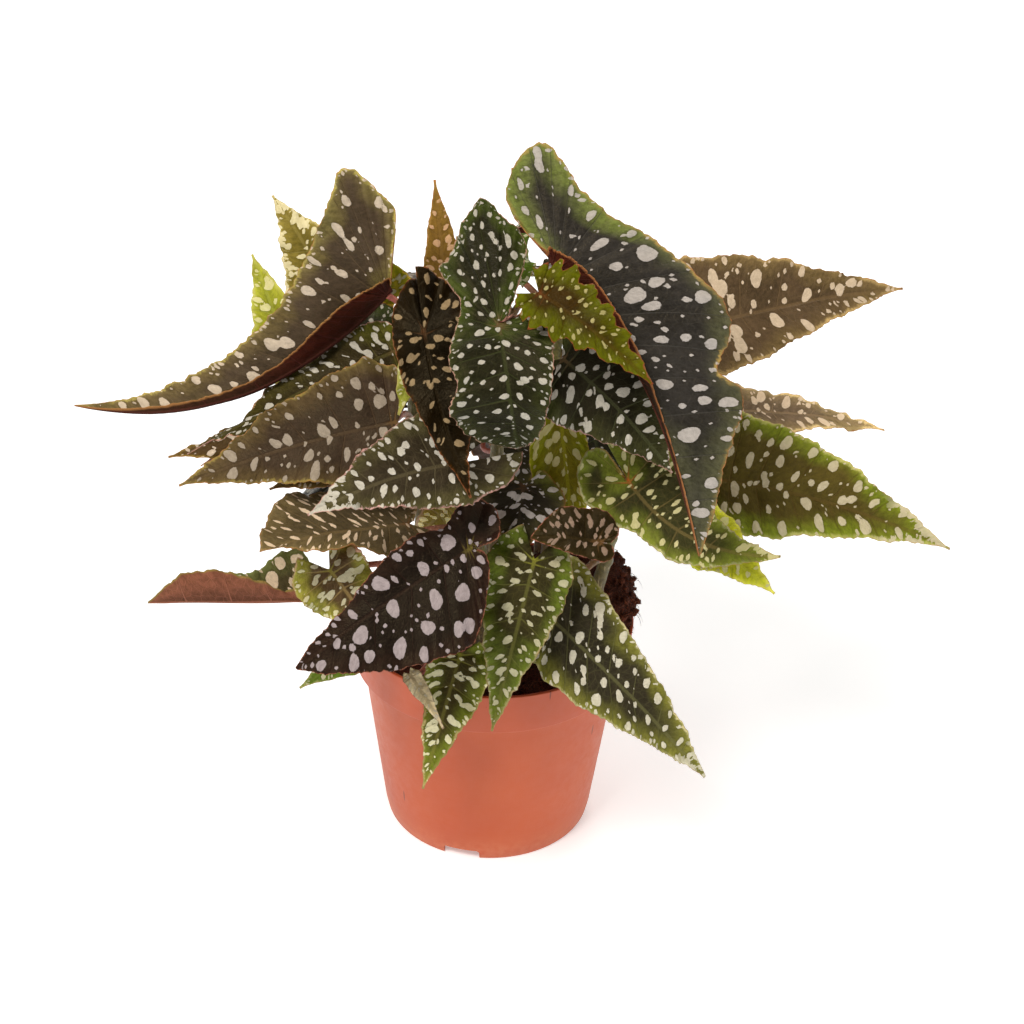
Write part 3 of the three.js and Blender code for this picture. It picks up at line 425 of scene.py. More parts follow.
def bladeColour(tree, look, margin, along, veins, mottle, marks):
    # The heart colour turns to the outer one at the margin, the tip and the basal lobes. Then come
    # mottling, veins, the pale margin band with painted glow, the leaf's own tint and the star where the
    # petiole joins.
    heart, outer = srgb(*look["heart"]), srgb(*look["outer"])
    reach = calc(tree, "MULTIPLY_ADD", mottle["Slow"], 7.0, margin)
    base = blendColour(tree, ramp(tree, reach, *leafSkin["outerBand"]), outer, heart)
    tipward = calc(tree, "MULTIPLY", ramp(tree, along, 0.55, 1.0), 0.5)
    base = blendColour(tree, tipward, base, outer)
    lobe = calc(tree, "MULTIPLY", ramp(tree, along, 0.0, leafSkin["lobeTo"], 0.75, 0.0),
                ramp(tree, reach, *leafSkin["lobeBand"], 1.0, 0.0))
    base = blendColour(tree, lobe, base, srgb(*look.get("lobe", look["outer"])))
    tone = calc(tree, "MULTIPLY_ADD", mottle["Slow"], leafSkin["slowTone"], leafSkin["darkest"])
    tone = calc(tree, "MULTIPLY_ADD", mottle["Quick"], leafSkin["quickTone"], tone)
    base = blendColour(tree, 1.0, base, tone, "MULTIPLY")
    rib = srgb(*look["rib"])
    base = blendColour(tree, calc(tree, "MULTIPLY", veins["Net"], leafSkin["net"]), base, rib)
    base = blendColour(tree, calc(tree, "MULTIPLY", veins["Lines"], leafSkin["lines"]), base, rib)
    base = blendColour(tree, calc(tree, "MULTIPLY", marks["Halo"], leafSkin["halo"]), base, heart)
    # Painted glow: the pale band along the margin is partly the leaf's own pale edge and partly painted
    # light shining through the thin margin.
    fringe = ramp(tree, calc(tree, "MULTIPLY_ADD", mottle["Quick"], 1.6, margin),
                  look["fringeWidth"] * 0.5, look["fringeWidth"] * 1.4, 0.85, 0.0)
    base = blendColour(tree, calc(tree, "MULTIPLY", fringe, mottle["Slow"]), base, srgb(*look["fringe"]))
    base = blendColour(tree, 1.0, base, attribute(tree, "tint").outputs["Color"], "MULTIPLY")
    centre = calc(tree, "MULTIPLY_ADD", mottle["Quick"], 2.0, attribute(tree, "fromJoint").outputs["Fac"])
    rays = calc(tree, "MULTIPLY", ramp(tree, centre, *leafSkin["rayBand"], 0.45, 0.0), veins["Lines"])
    star = calc(tree, "MAXIMUM", ramp(tree, centre, *leafSkin["starBand"], 0.8, 0.0), rays)
    return blendColour(tree, star, base, srgb(*look["star"]))


def leafTopMaterial(name, look):
    material, tree, skin, out = startMaterial(name)
    place = attribute(tree, "place").outputs["Vector"]
    margin = attribute(tree, "margin").outputs["Fac"]
    along = attribute(tree, "along").outputs["Fac"]
    veins = useGroup(tree, veinGroup, Veins=attribute(tree, "veins").outputs["Vector"],
                     Place=place, Across=attribute(tree, "across").outputs["Fac"])
    mottle = useGroup(tree, mottleGroup, Place=place)
    marks = useGroup(tree, dotGroup, Place=place, Inside=attribute(tree, "inside").outputs["Fac"],
                     Margin=margin, Along=along, EdgeDots=look["edge"], Patch=look.get("patch", 0.0),
                     PatchFrom=look.get("patchFrom", 0.6))
    base = bladeColour(tree, look, margin, along, veins, mottle, marks)
    spot = blendColour(tree, calc(tree, "MULTIPLY", mottle["Quick"], 0.3), srgb(*look["dots"]), base)
    spot = blendColour(tree, 1.0, spot, attribute(tree, "dotTone").outputs["Fac"], "MULTIPLY")
    base = blendColour(tree, calc(tree, "MULTIPLY", marks["Dots"], leafSkin["dotCover"]), base, spot)
    crust = calc(tree, "MULTIPLY_ADD", mottle["Quick"], 0.5, margin)
    crust = ramp(tree, crust, *leafSkin["crustBand"], 0.9, 0.0)
    base = blendColour(tree, crust, base, srgb(*look["crust"]))
    feed(tree, skin.inputs["Base Color"], base)
    rough = calc(tree, "MULTIPLY_ADD", mottle["Quick"], 0.14, leafSkin["roughness"] - 0.05)
    dull = leafSkin["dotRoughness"] - leafSkin["roughness"]
    feed(tree, skin.inputs["Roughness"], calc(tree, "MULTIPLY_ADD", marks["Dots"], dull, rough))
    skin.inputs["Specular IOR Level"].default_value = leafSkin["specular"]
    skin.inputs["Specular Tint"].default_value = leafSkin["specularTint"]
    pimple = cells(tree, place, 1.7).outputs["Distance"]
    height = calc(tree, "MULTIPLY_ADD", pimple, -0.22, 0.5)
    height = calc(tree, "MULTIPLY_ADD", veins["Lines"], -0.5, height)
    height = calc(tree, "MULTIPLY_ADD", veins["Net"], -0.2, height)
    height = calc(tree, "MULTIPLY_ADD", marks["Dots"], 0.12, height)
    bump(tree, skin, height, leafSkin["relief"] * mm)
    letThrough(tree, skin, out, base, look["glow"])
    return material


def letThrough(tree, skin, out, colour, share):
    # Part of the light goes through the blade, yellower than it came
    through = tree.nodes.new("ShaderNodeBsdfTranslucent")
    feed(tree, through.inputs["Color"], blendColour(tree, 0.6, colour, srgb(196, 190, 60)))
    mix = tree.nodes.new("ShaderNodeMixShader")
    mix.inputs[0].default_value = share
    tree.links.new(skin.outputs[0], mix.inputs[1])
    tree.links.new(through.outputs[0], mix.inputs[2])
    tree.links.new(mix.outputs[0], out.inputs["Surface"])


def leafUnderMaterial(name, look):
    material, tree, skin, out = startMaterial(name)
    place = attribute(tree, "place").outputs["Vector"]
    margin = attribute(tree, "margin").outputs["Fac"]
    veins = useGroup(tree, veinGroup, Veins=attribute(tree, "veins").outputs["Vector"],
                     Place=place, Across=attribute(tree, "across").outputs["Fac"])
    mottle = useGroup(tree, mottleGroup, Place=place, QuickScale=0.4)
    under = srgb(*look["under"])
    rib = tuple(min(1.0, 1.7 * c + 0.01) for c in under[:3]) + (1,)
    tone = calc(tree, "MULTIPLY_ADD", mottle["Quick"], 0.6, 0.7)
    fade = ramp(tree, attribute(tree, "along").outputs["Fac"], 0.3, 0.55, 0.0, look.get("underFade", 0.0))
    # Painted shade: the underside is darker towards the midrib, where the blade lies hollow, and lighter
    # towards the margin.
    tone = calc(tree, "MULTIPLY", tone,
                ramp(tree, attribute(tree, "across").outputs["Fac"], 0.0, 0.7, 0.5, 1.15))
    base = blendColour(tree, 1.0, blendColour(tree, fade, under, srgb(*look["heart"])), tone, "MULTIPLY")
    base = blendColour(tree, calc(tree, "MULTIPLY", veins["Net"], 0.3), base, rib)
    base = blendColour(tree, calc(tree, "MULTIPLY", veins["Lines"], 0.8), base, rib)
    edge = ramp(tree, margin, 0.2, 1.0, 0.7, 0.0)
    base = blendColour(tree, edge, base, srgb(*look["crust"]))
    feed(tree, skin.inputs["Base Color"], base)
    skin.inputs["Roughness"].default_value = leafSkin["underRoughness"]
    skin.inputs["Specular IOR Level"].default_value = leafSkin["specular"]
    skin.inputs["Specular Tint"].default_value = leafSkin["specularTint"]
    height = calc(tree, "MULTIPLY_ADD", veins["Lines"], 0.8, calc(tree, "MULTIPLY", veins["Net"], 0.35))
    bump(tree, skin, height, leafSkin["underRelief"] * mm)
    letThrough(tree, skin, out, base, look["glow"] * 0.8)
    return material


leafMaterials = {
    key: (leafTopMaterial("leaf " + key, look), leafUnderMaterial("leaf underside " + key, look))
    for key, look in leafLooks.items()
}
print("leaf finishes done")


# Canes: base in the peat, top, and the bow of the middle, in mm
canes = {
    "left": {"base": (-22, -6, 95), "top": (-34, 2, 236), "bow": (-4, -2, 0)},
    "middle": {"base": (0, -14, 95), "top": (4, -22, 250), "bow": (-2, 6, 0)},
    "right": {"base": (22, -4, 96), "top": (30, -8, 246), "bow": (-2, 2, 0)},
    "front": {"base": (-4, -36, 93), "top": (-8, -38, 172), "bow": (2, 2, 0)},
    "side": {"base": (38, -14, 96), "top": (50, -16, 176), "bow": (2, 0, 0)},
    "backLeft": {"base": (-18, 24, 96), "top": (-32, 28, 210), "bow": (-2, 4, 0)},
    "backRight": {"base": (20, 26, 100), "top": (24, 32, 216), "bow": (0, 4, 0)},
}


def backLeaf(look, cane, at, azimuth, seat, length, droop, halves):
    # A leaf at the back, which looks outwards
    angle = math.radians(azimuth)
    bigRight = halves[0] > halves[1]
    skew = math.radians(azimuth + (14 if bigRight else -14))
    tilted = math.radians(azimuth + 40 * math.sin(7 * azimuth))
    radius, height = seat
    reach = length * math.cos(math.radians(droop))
    x, y = radius * math.cos(angle), radius * math.sin(angle)
    return dict(
        look=look, cane=cane, at=at, joint=(x, y, height),
        tip=(x + reach * math.cos(skew), y + reach * math.sin(skew),
             height - length * math.sin(math.radians(droop))),
        bow=(4 * math.cos(angle), 4 * math.sin(angle), 12),
        face=(0.7 * math.cos(tilted), 0.7 * math.sin(tilted), 0.7),
        right=(halves[0], 18 if bigRight else 8, 6, -14),
        left=(halves[1], 8 if bigRight else 18, 6, -14), wave=2, phase=azimuth, grain=1.3)


# Leaves, in mm. look: the finish. tint: what it is multiplied by, and dotTone the same for the
# dots. cane, at: the cane that carries the leaf, and how far up it. joint: where the petiole meets
# the blade. bow: how far the midrib's control point lies off the straight line to the tip. pull:
# how near the midrib comes to that point. face, tipFace: where the upper side looks. right, left:
# half width, basal lobe, fold and curl in degrees, and at times the lobe's angle. rightShape,
# leftShape: the outline of a half that is bent or lobed unlike the others. fan: the share of the
# outline fed from the joint. widest: where along the midrib. wave: height of the waves, and phase
# where they start. teeth, cut: how many lobes the margin has and how deep. toothy, dotScale,
# grain: how large the teeth, the dots and the faces of the mesh are, against the usual.
leaves = {
    "leaf_upper_left": dict(
        look="olive", tint=(1.98, 2.43, 3.2), dotTone=1.25, cane="left", at=0.95, teeth=6,
        joint=(-42, -10, 254), tip=(-165, -25, 207), bow=(6, 0, -42),
        face=(0.15, -0.85, 0.5), tipFace=(-0.1, -0.45, 0.9), fan=0.55,
        right=(45, 26, 5, 10), left=(10, 3, 132, 6), wave=1.5,
        rightShape=[
            (-2, 2), (-12, 9), (-24, 19), (-26, 30), (-25, 45), (-16, 42), (0, 36), (14, 32),
            (39, 24), (68, 18), (94, 14), (116, 7), (141, 0.5)],
        leftShape=[
            (-2, 2), (-3, 3), (-3, 5), (-2, 6), (0, 7), (4, 8.5), (9, 10.5), (16, 12), (30, 11),
            (50, 7), (76, 4), (110, 2), (141, 0.5)]),
    "leaf_cream_back": dict(
        look="cream", tint=(1.26, 1.26, 1.05), dotTone=1.3, cane="backLeft", at=0.9,
        joint=(-66, 38, 222), tip=(-94, 60, 260), bow=(0, 0, 4),
        face=(0, -0.8, 0.6), right=(18, 6, 5, 0), left=(18, 10, 5, 0), wave=1),
    "leaf_lime_back": dict(
        look="lime", tint=(1.5, 1.5, 1.3), dotTone=1.35, cane="backLeft", at=0.8,
        joint=(-84, 26, 198), tip=(-102, 50, 238), bow=(0, 0, 2),
        face=(0, -0.8, 0.6), right=(14, 6, 5, 0), left=(14, 6, 5, 0), wave=1),
    "leaf_under_left": dict(
        look="dark", tint=(2.06, 1.43, 0.98), cane="left", at=0.82,
        joint=(-39, -15, 230), tip=(-122, -24, 186), bow=(-4, 0, 2),
        face=(0, -0.7, 0.7), tipFace=(0.3, 0.2, 0.9),
        right=(14, 6, 10, 0), left=(20, 8, -10, 0), wave=2),
    "leaf_mid_left": dict(
        look="olive", tint=(1.25, 1.39, 1.83), dotTone=0.72, cane="left", at=0.7, teeth=6,
        joint=(-38, -45, 215), tip=(-122, -50, 187), bow=(0, 0, 5),
        face=(0, -0.75, 0.65), right=(26, 10, 5, -14), left=(22, 10, 5, -14), wave=2.5),
    "leaf_tip_left": dict(
        look="olive", tint=(1.12, 1.08, 1.1), dotTone=1.4, cane="left", at=0.55,
        joint=(-67, -10, 186), tip=(-131, -15, 179), bow=(0, 0, 4),
        face=(0, -0.5, 0.8), right=(16, 6, 5, -14), left=(14, 6, 5, -14), wave=1),
    "leaf_maroon_left": dict(
        look="rose", cane="front", at=0.9, joint=(-45, -28, 190), tip=(-89, -33, 176), bow=(0, 0, 2),
        face=(0, -0.6, 0.8), right=(14, 6, 5, -14), left=(12, 6, 5, -14), wave=1),
    "leaf_silver_tip": dict(
        look="silver", tint=(2.11, 1.41, 2.03), cane="front", at=1, teeth=6,
        joint=(-15, -65, 209), tip=(-69, -90, 200), bow=(0, 0, 6),
        face=(0, -0.75, 0.65), right=(22, 20, 5, -14), left=(16, 27, 5, -14, 0), wave=1.5),
    "leaf_striped": dict(
        look="striped", tint=(1.98, 2.35, 2.38), dotTone=1.9, cane="front", at=0.86,
        joint=(-33, -48, 171), tip=(-89, -75, 174), bow=(0, 0, 4),
        face=(0, -0.3, 0.95), right=(24, 8, 5, -14), left=(14, 8, 5, -14), wave=2,
        rightShape=[
            (-3, 2), (-5, 9), (4, 16), (15, 18), (27, 23), (38, 24), (48, 20), (57, 10), (62, 0.5)]),
    "leaf_narrow_wavy": dict(
        look="wavy", tint=(0.47, 0.31, 0.1), cane="middle", at=0.93,
        joint=(-28, -46, 255), tip=(-9, -80, 203), bow=(-4, -4, 2),
        face=(0.1, -0.85, 0.5), right=(12, 20, 5, -14, 0), left=(18, 24, 5, -14, 0), wave=3),
    "leaf_centre": dict(
        look="dark", tint=(1.0, 0.99, 0.88), dotTone=0.85, dotScale=0.85, cane="middle", at=1, teeth=7,
        joint=(0, -58, 265), tip=(8, -62, 214), bow=(2, -34, 4), pull=0.75,
        face=(0, -0.8, 0.6), tipFace=(0, -0.5, -0.8), fan=0.55,
        right=(22, 56, 4, 0), left=(19, 3, 4, 0), wave=1.5,
        rightShape=[
            (-3, -4), (-33, -14), (-46, -7), (-56, -1), (-46, 8), (-32, 13), (-25, 19), (-11, 13),
            (3, 17), (13, 20), (22, 18), (31, 22), (42, 20), (54, 12), (66, 0.5)],
        leftShape=[
            (0, 2), (-2, 6), (-3, 10), (-2, 14), (1, 17), (6, 18), (13, 18), (21, 17), (32, 14),
            (44, 10), (55, 5), (66, 0.5)]),
    "leaf_small_back": dict(
        look="gold", tint=(1.31, 1.48, 1.64), dotTone=1.3, cane="backLeft", at=1,
        joint=(-22, 22, 238), tip=(-27, 37, 279), bow=(0, 0, 0),
        face=(0, -0.9, 0.4), right=(9, 4, 5, -14), left=(8, 4, 5, -14), wave=0.5),
    "leaf_toothed": dict(
        look="toothed", tint=(0.54, 0.42, 0.34), dotTone=0.75,
        cane="middle", at=0.97, toothy=1.9, teeth=8, cut=0.16,
        joint=(14, -58, 278), tip=(56, -80, 253), bow=(0, 0, 4),
        face=(0, -0.75, 0.65), right=(11, 8, 5, -14), left=(14, 8, 5, -14), wave=1),
    "leaf_upper_right": dict(
        look="charcoal", tint=(1.59, 1.72, 2.57), cane="right", at=0.96, teeth=9,
        joint=(19, -38, 281), tip=(77, -85, 183), bow=(9, 0, 18), pull=0.85,
        face=(0.1, -0.8, 0.6), tipFace=(0.2, -0.9, 0.2), fan=0.45,
        left=(40, 34, 5, 0), right=(10, 4, 122, 8), wave=1.5,
        leftShape=[
            (-3, 1), (-14, 0), (-29, 4), (-35, 13), (-37, 22), (-34, 28), (-26, 28), (-12, 26),
            (3, 28), (17, 33), (33, 37), (49, 40), (57, 34), (64, 27), (73, 33), (84, 26), (96, 17),
            (110, 10), (126, 0.5)],
        rightShape=[
            (-3, 1), (-4, 3), (-2, 5), (2, 6.5), (7, 8), (17, 9.5), (32, 7.5), (50, 4.5), (72, 2.6),
            (98, 1.6), (126, 0.5)]),
    "leaf_rose_right": dict(
        look="rose", tint=(1.36, 1.51, 2.1), dotTone=1.1, cane="backRight", at=0.9, teeth=6,
        joint=(78, 30, 219), tip=(168, 60, 225), bow=(0, 0, 5),
        face=(0, -0.7, 0.7), left=(30, 10, 5, -14), right=(22, 10, 5, -14), wave=1.5),
    "leaf_narrow_right": dict(
        look="rose", tint=(2.72, 3.3, 5.28), dotTone=1.45, cane="backRight", at=0.7,
        joint=(97, 10, 193), tip=(162, 30, 174), bow=(0, 0, 4),
        face=(0, -0.3, 0.95), left=(14, 6, 5, -14), right=(12, 6, 5, -14), wave=1),
    "leaf_lower_right": dict(
        look="moss", tint=(1.59, 1.74, 1.64), dotTone=1.1, cane="side", at=1, teeth=6,
        joint=(87, -25, 181), tip=(183, -30, 154), bow=(0, 0, 9),
        face=(0, -0.75, 0.65), left=(28, 12, 5, -14), right=(21, 10, 5, -14), wave=1.5),
    "leaf_glossy_right": dict(
        look="glossy", tint=(1.85, 1.6, 3.04), dotTone=1.45, cane="side", at=0.9,
        joint=(51, -45, 192), tip=(111, -62, 169), bow=(-9, -8, -14),
        face=(0, -0.7, 0.7), left=(23, 18, 5, -14, 2), right=(20, 17, 5, -14), wave=1.5,
        rightShape=[
            (-3, 1), (-15, 2), (-17, 8), (-12, 15), (-4, 18.5), (4, 17), (11, 14), (18, 10.5), (25, 11),
            (33, 11.5), (40, 9), (51, 4.5), (62, 2), (69.5, 0.5)]),
    "leaf_lime_right": dict(
        look="lime", tint=(1.9, 1.9, 0.9), cane="side", at=0.75, cut=0.08,
        joint=(77, -47, 171), tip=(111, -55, 147), bow=(0, 0, 2),
        face=(0, -0.7, 0.7), left=(14, 5, 5, -14), right=(12, 4, 5, -14), wave=1.5),
    "leaf_hanging": dict(
        look="hanging", tint=(3.65, 3.78, 1.0), dotTone=1.7, cane="middle", at=0.8,
        joint=(24, -27, 214), tip=(32, -37, 156), bow=(0, -4, 2),
        face=(0, -0.9, 0.4), left=(10, 6, 5, -14), right=(14, 6, 5, -14), wave=1, widest=0.5),
    "leaf_under_centre": dict(
        look="dark", tint=(1.58, 1.4, 1.8), dotTone=1.1, cane="right", at=0.8, teeth=6,
        joint=(24, -47, 245), tip=(67, -60, 204), bow=(0, 0, 6), dotScale=1.3,
        face=(0, -0.75, 0.65), left=(27, 9, 5, -14), right=(22, 10, 5, -14), wave=1.5),
    "leaf_dark_centre": dict(
        look="charcoal", tint=(1.24, 1.19, 1.38), dotTone=1.35, cane="middle", at=0.55,
        joint=(11, -40, 185), tip=(9, -56, 164), bow=(0, 0, 2), dotScale=0.7,
        face=(0, -0.8, 0.6), left=(17, 8, 5, -14), right=(17, 8, 5, -14), wave=1, widest=0.3),
    "leaf_brown_centre": dict(
        look="brown", tint=(0.36, 0.4, 0.13), dotTone=0.85, cane="side", at=0.6,
        joint=(41, -66, 176), tip=(14, -64, 176), bow=(0, 0, 2),
        face=(0, -0.7, 0.7), left=(8, 6, 5, -14), right=(13, 6, 5, -14), wave=0.8,
        rightShape=[
            (-4, 0.5), (-6, 4), (-5, 8), (-2, 11), (3, 12.5), (9, 12.5), (15, 12), (20, 8.5), (24, 4),
            (27, 0.5)],
        leftShape=[
            (-4, 0.5), (-6, 4), (-3, 7), (3, 7), (10, 6), (17, 4), (23, 2.2), (27, 0.5)]),
    "leaf_black_lower": dict(
        look="black", tint=(0.78, 0.58, 0.67), dotTone=0.82, cane="front", at=0.8, teeth=6,
        joint=(-8, -72, 176), tip=(-74, -98, 136), bow=(0, -4, 6),
        face=(0, -0.75, 0.65), right=(17, 15, 5, 0), left=(31, 3, 5, -8), wave=1.5, fan=0.45,
        rightShape=[
            (-2, -1), (-10, -2), (-15, 7), (-13, 14), (-7, 17), (-1, 15), (4, 12), (14, 15), (27, 14),
            (38, 12), (51, 8), (70, 4), (82, 0.5)],
        leftShape=[
            (-1, 2), (-3, 5), (1, 13), (6, 19), (13, 26), (20, 31), (30, 30), (45, 25), (57, 19),
            (71, 10), (82, 0.5)]),
    "leaf_green_tip": dict(
        look="bright", cane="front", at=0.35, joint=(-52, -55, 115), tip=(-76, -65, 103), bow=(0, 0, 2),
        face=(0, -0.7, 0.7), right=(8, 4, 5, -14), left=(8, 4, 5, -14), wave=0.5),
    "leaf_bright_centre": dict(
        look="bright", tint=(1.42, 1.09, 1.6), dotScale=0.85, cane="front", at=0.9, teeth=6,
        joint=(16, -62, 165), tip=(1, -88, 101), bow=(0, -6, 6),
        face=(0, -0.85, 0.5), right=(18, 14, 5, -14), left=(16, 12, 5, -14), wave=2),
    "leaf_olive_front": dict(
        look="bright", tint=(2.12, 1.47, 1.86), dotTone=1.7, dotScale=0.9, cane="front", at=0.5,
        joint=(-12, -64, 121), tip=(-26, -82, 67), bow=(0, -4, 4),
        face=(0, -0.85, 0.5), right=(12, 8, 5, -14), left=(14, 8, 5, -14), wave=1.5),
    "leaf_dried": dict(
        look="dried", tint=(2.0, 2.0, 2.1), cane="front", at=0.4,
        joint=(-32, -70, 115), tip=(-18, -83, 98), bow=(0, 0, 2),
        face=(0.3, -0.8, 0.5), right=(4, 2, 5, -14), left=(4, 2, 5, -14), wave=1),
    "leaf_front_right": dict(
        look="forest", tint=(2.85, 2.08, 3.78), dotTone=1.15, cane="side", at=0.6, teeth=6,
        joint=(22, -58, 136), tip=(87, -78, 73), bow=(2, -6, 6),
        face=(0.1, -0.8, 0.6), left=(26, 17, 5, -14), right=(19, 8, 5, -14), wave=1.5, widest=0.22,
        leftShape=[
            (-4, 1), (-12, 3), (-17, 9), (-17, 16), (-13, 22), (-4, 25), (8, 22.5), (22, 18.5), (38, 15),
            (56, 11), (76, 5), (94, 0.5)]),
    "leaf_folded_left": dict(
        look="folded", tint=(1.05, 1.65, 1.65), dotTone=1.5, cane="front", at=0.3,
        joint=(-66, -30, 121), tip=(-137, -50, 132), bow=(0, 0, 2),
        face=(0, -0.3, 0.9), right=(21, 3, 34, 0), left=(15, 3, 96, 34), wave=1,
        rightShape=[
            (-3, 3), (-2, 8), (6, 12), (14, 21), (23, 18), (32, 11), (44, 10), (58, 8), (75, 0.5)],
        leftShape=[
            (-3, 1), (-1, 3), (5, 4.5), (12, 5.5), (20, 6), (32, 9), (46, 14), (62, 12), (75, 0.5)]),
    "leaf_green_left": dict(
        look="bright", tint=(4.59, 2.47, 5.46), dotTone=1.4, cane="front", at=0.6,
        joint=(-64, -55, 153), tip=(-42, -60, 119), bow=(0, 0, 2),
        face=(0, -0.8, 0.6), right=(16, 14, 5, -14), left=(14, 10, 5, -14), wave=2),
    "leaf_crinkled": dict(
        look="lime", cane="middle", at=0.86, joint=(-31, -50, 244), tip=(-37, -56, 224), bow=(0, 0, 0),
        face=(0, -0.8, 0.6), right=(6, 3, 5, -14), left=(5, 3, 5, -14), wave=1.5),
    "leaf_backlit": dict(
        look="lime", tint=(2.09, 1.58, 4.0), dotTone=2.4, cane="front", at=0.72,
        joint=(-18, -29, 168), tip=(-33, -36, 152), bow=(0, 0, 2),
        face=(0, -0.7, 0.7), right=(9, 4, 5, -14), left=(9, 4, 5, -14), wave=1),
    "leaf_young_left": dict(
        look="bright", tint=(5.07, 2.99, 1.1), cane="backLeft", at=0.98,
        joint=(-40, 8, 242), tip=(-44, 10, 257), bow=(0, 0, 2),
        face=(0.2, -0.8, 0.6), right=(8, 4, 5, -14), left=(8, 4, 5, -14), wave=1),
    "leaf_inner_left": dict(
        look="dark", cane="backLeft", at=0.96, joint=(-48, 8, 224), tip=(-100, 16, 203), bow=(0, 0, 6),
        face=(0, -0.2, 1), right=(20, 12, 4, 0), left=(16, 7, 4, 0), wave=2),
    "leaf_inner_right": dict(
        look="charcoal", cane="right", at=0.78, joint=(36, 6, 238), tip=(86, 16, 216), bow=(0, 0, 8),
        face=(0, 0, 1), right=(16, 7, 4, 0), left=(20, 12, 4, 0), wave=2),
    "leaf_inner_centre": dict(
        look="charcoal", cane="backRight", at=0.8,
        joint=(9, 10, 186), tip=(11, 12, 144), bow=(0, 3, 0), dotScale=0.6,
        face=(0, -0.9, 0.4), right=(14, 8, 4, -10), left=(14, 8, 4, -10), wave=1),
    "leaf_inner_lower": dict(
        look="dark", cane="right", at=0.72, joint=(38, 11, 185), tip=(50, 13, 143), bow=(0, 3, 0),
        face=(0, -0.9, 0.4), right=(16, 9, 4, -10), left=(15, 9, 4, -10), wave=1),
    "leaf_back_1": backLeaf("charcoal", "backRight", 0.97, 62, (46, 236), 108, 26, (24, 18)),
    "leaf_back_2": backLeaf("dark", "backRight", 1, 98, (48, 244), 96, 32, (22, 26)),
    "leaf_back_3": backLeaf("olive", "backLeft", 0.95, 122, (50, 229), 92, 26, (20, 25)),
    "leaf_back_4": backLeaf("dark", "backRight", 0.84, 80, (58, 200), 104, 36, (26, 20)),
    "leaf_back_5": backLeaf("rose", "backLeft", 0.84, 112, (62, 190), 104, 36, (20, 25)),
    "leaf_back_6": backLeaf("charcoal", "backLeft", 0.72, 148, (62, 178), 92, 30, (25, 20)),
    "leaf_back_7": backLeaf("dark", "backRight", 0.72, 42, (64, 182), 96, 38, (20, 24)),
    "leaf_back_8": backLeaf("bright", "backRight", 0.6, 66, (64, 152), 82, 44, (22, 17)),
    "leaf_back_9": backLeaf("olive", "backRight", 0.5, 95, (64, 146), 84, 46, (17, 22)),
    "leaf_back_10": backLeaf("bright", "backLeft", 0.55, 128, (64, 142), 80, 42, (21, 17)),
    "leaf_back_11": backLeaf("dark", "backLeft", 0.46, 158, (60, 148), 62, 38, (17, 21)),
    "leaf_back_top": backLeaf("bright", "middle", 0.96, 76, (6, 262), 50, 14, (14, 11)),
    "leaf_back_12": backLeaf("charcoal", "backRight", 0.45, 16, (66, 142), 76, 40, (20, 16)),
}

# What every blade shares, in mm, apart from shares, counts, powers and degrees. widest, corner,
# lobeEnd, fullness, taper, tipHalfWidth, teeth, cut: the plain outline. basalFan, basalRun,
# crowding: where the side lines leave the midrib. ripples, rippleShift, rippleSpread: the leaf's
# waves. rufflePitch, ruffleRates, ruffle: the finer ones near the margin. toothPitch, toothDepth:
# the fine teeth, and coarser how much longer the second set is. fullSize: the half width from
# which ruffles and teeth have their full size. grain: size of a face of the mesh. quilt, wobble,
# openGap, calmRim: relief between veins, how far apart they lie where it is full, and the rim that
# it leaves calm. The reaches are how far relief spreads from its line. dotTries: places tried for
# each layer of dots. dotRange, gapRange: how much sizes and gaps vary. merging: share of dots that
# may touch others. squeeze: the share of its radius that a dot keeps. lumps: how uneven it is.
blade = {
    "widest": 0.1, "corner": 24, "lobeEnd": 0.38, "fullness": 1.35, "taper": 1.2,
    "basalFan": 0.3, "basalRun": 0.03, "crowding": 1.4, "rippleSpread": 1.6,
    "teeth": 4, "cut": 0.03, "ripples": 3.3, "rippleShift": 1.3, "tipHalfWidth": 0.5,
    "thickness": 0.55, "rimThickness": 0.22, "ribHeight": 0.9, "veinHeight": 0.35,
    "grain": 1.2, "veinPitch": 15, "quilt": 0.55, "wobble": 0.8,
    "toothPitch": 1.9, "toothDepth": 0.9, "coarser": 4, "rufflePitch": 12, "ruffle": 0.6,
    "ruffleRates": (0.62, 1, 1.7), "fullSize": 16, "fewestVeins": 5, "mostVeins": 14,
    "openGap": 9, "calmRim": 6, "quiltReach": 2.2, "ribReach": 1.0, "veinReach": 0.9, "rimReach": 4,
    "dotTries": 700, "dotRange": (0.7, 1.2), "gapRange": (0.75, 1.5), "merging": 0.03,
    "squeeze": 0.62, "lumps": (0.12, 0.08),
}


def bezier(corners, s):
    a, b, c, d = corners
    s = np.asarray(s, dtype=float)[..., None]
    return a * (1 - s) ** 3 + 3 * b * s * (1 - s) ** 2 + 3 * c * s ** 2 * (1 - s) + d * s ** 3


def evenly(curve, steps=200):
    # The same curve by share of its length; gives point and tangent, and the length
    marks = np.linspace(0, 1, steps + 1)
    points = curve(marks)
    run = np.concatenate([[0], np.cumsum(np.linalg.norm(np.diff(points, axis=0), axis=1))])

    def at(share):
        s = np.interp(np.clip(share, 0, 1) * run[-1], run, marks)
        tangent = curve(np.minimum(s + 1e-4, 1)) - curve(np.maximum(s - 1e-4, 0))
        return curve(s), unit(tangent)
    return at, run[-1]


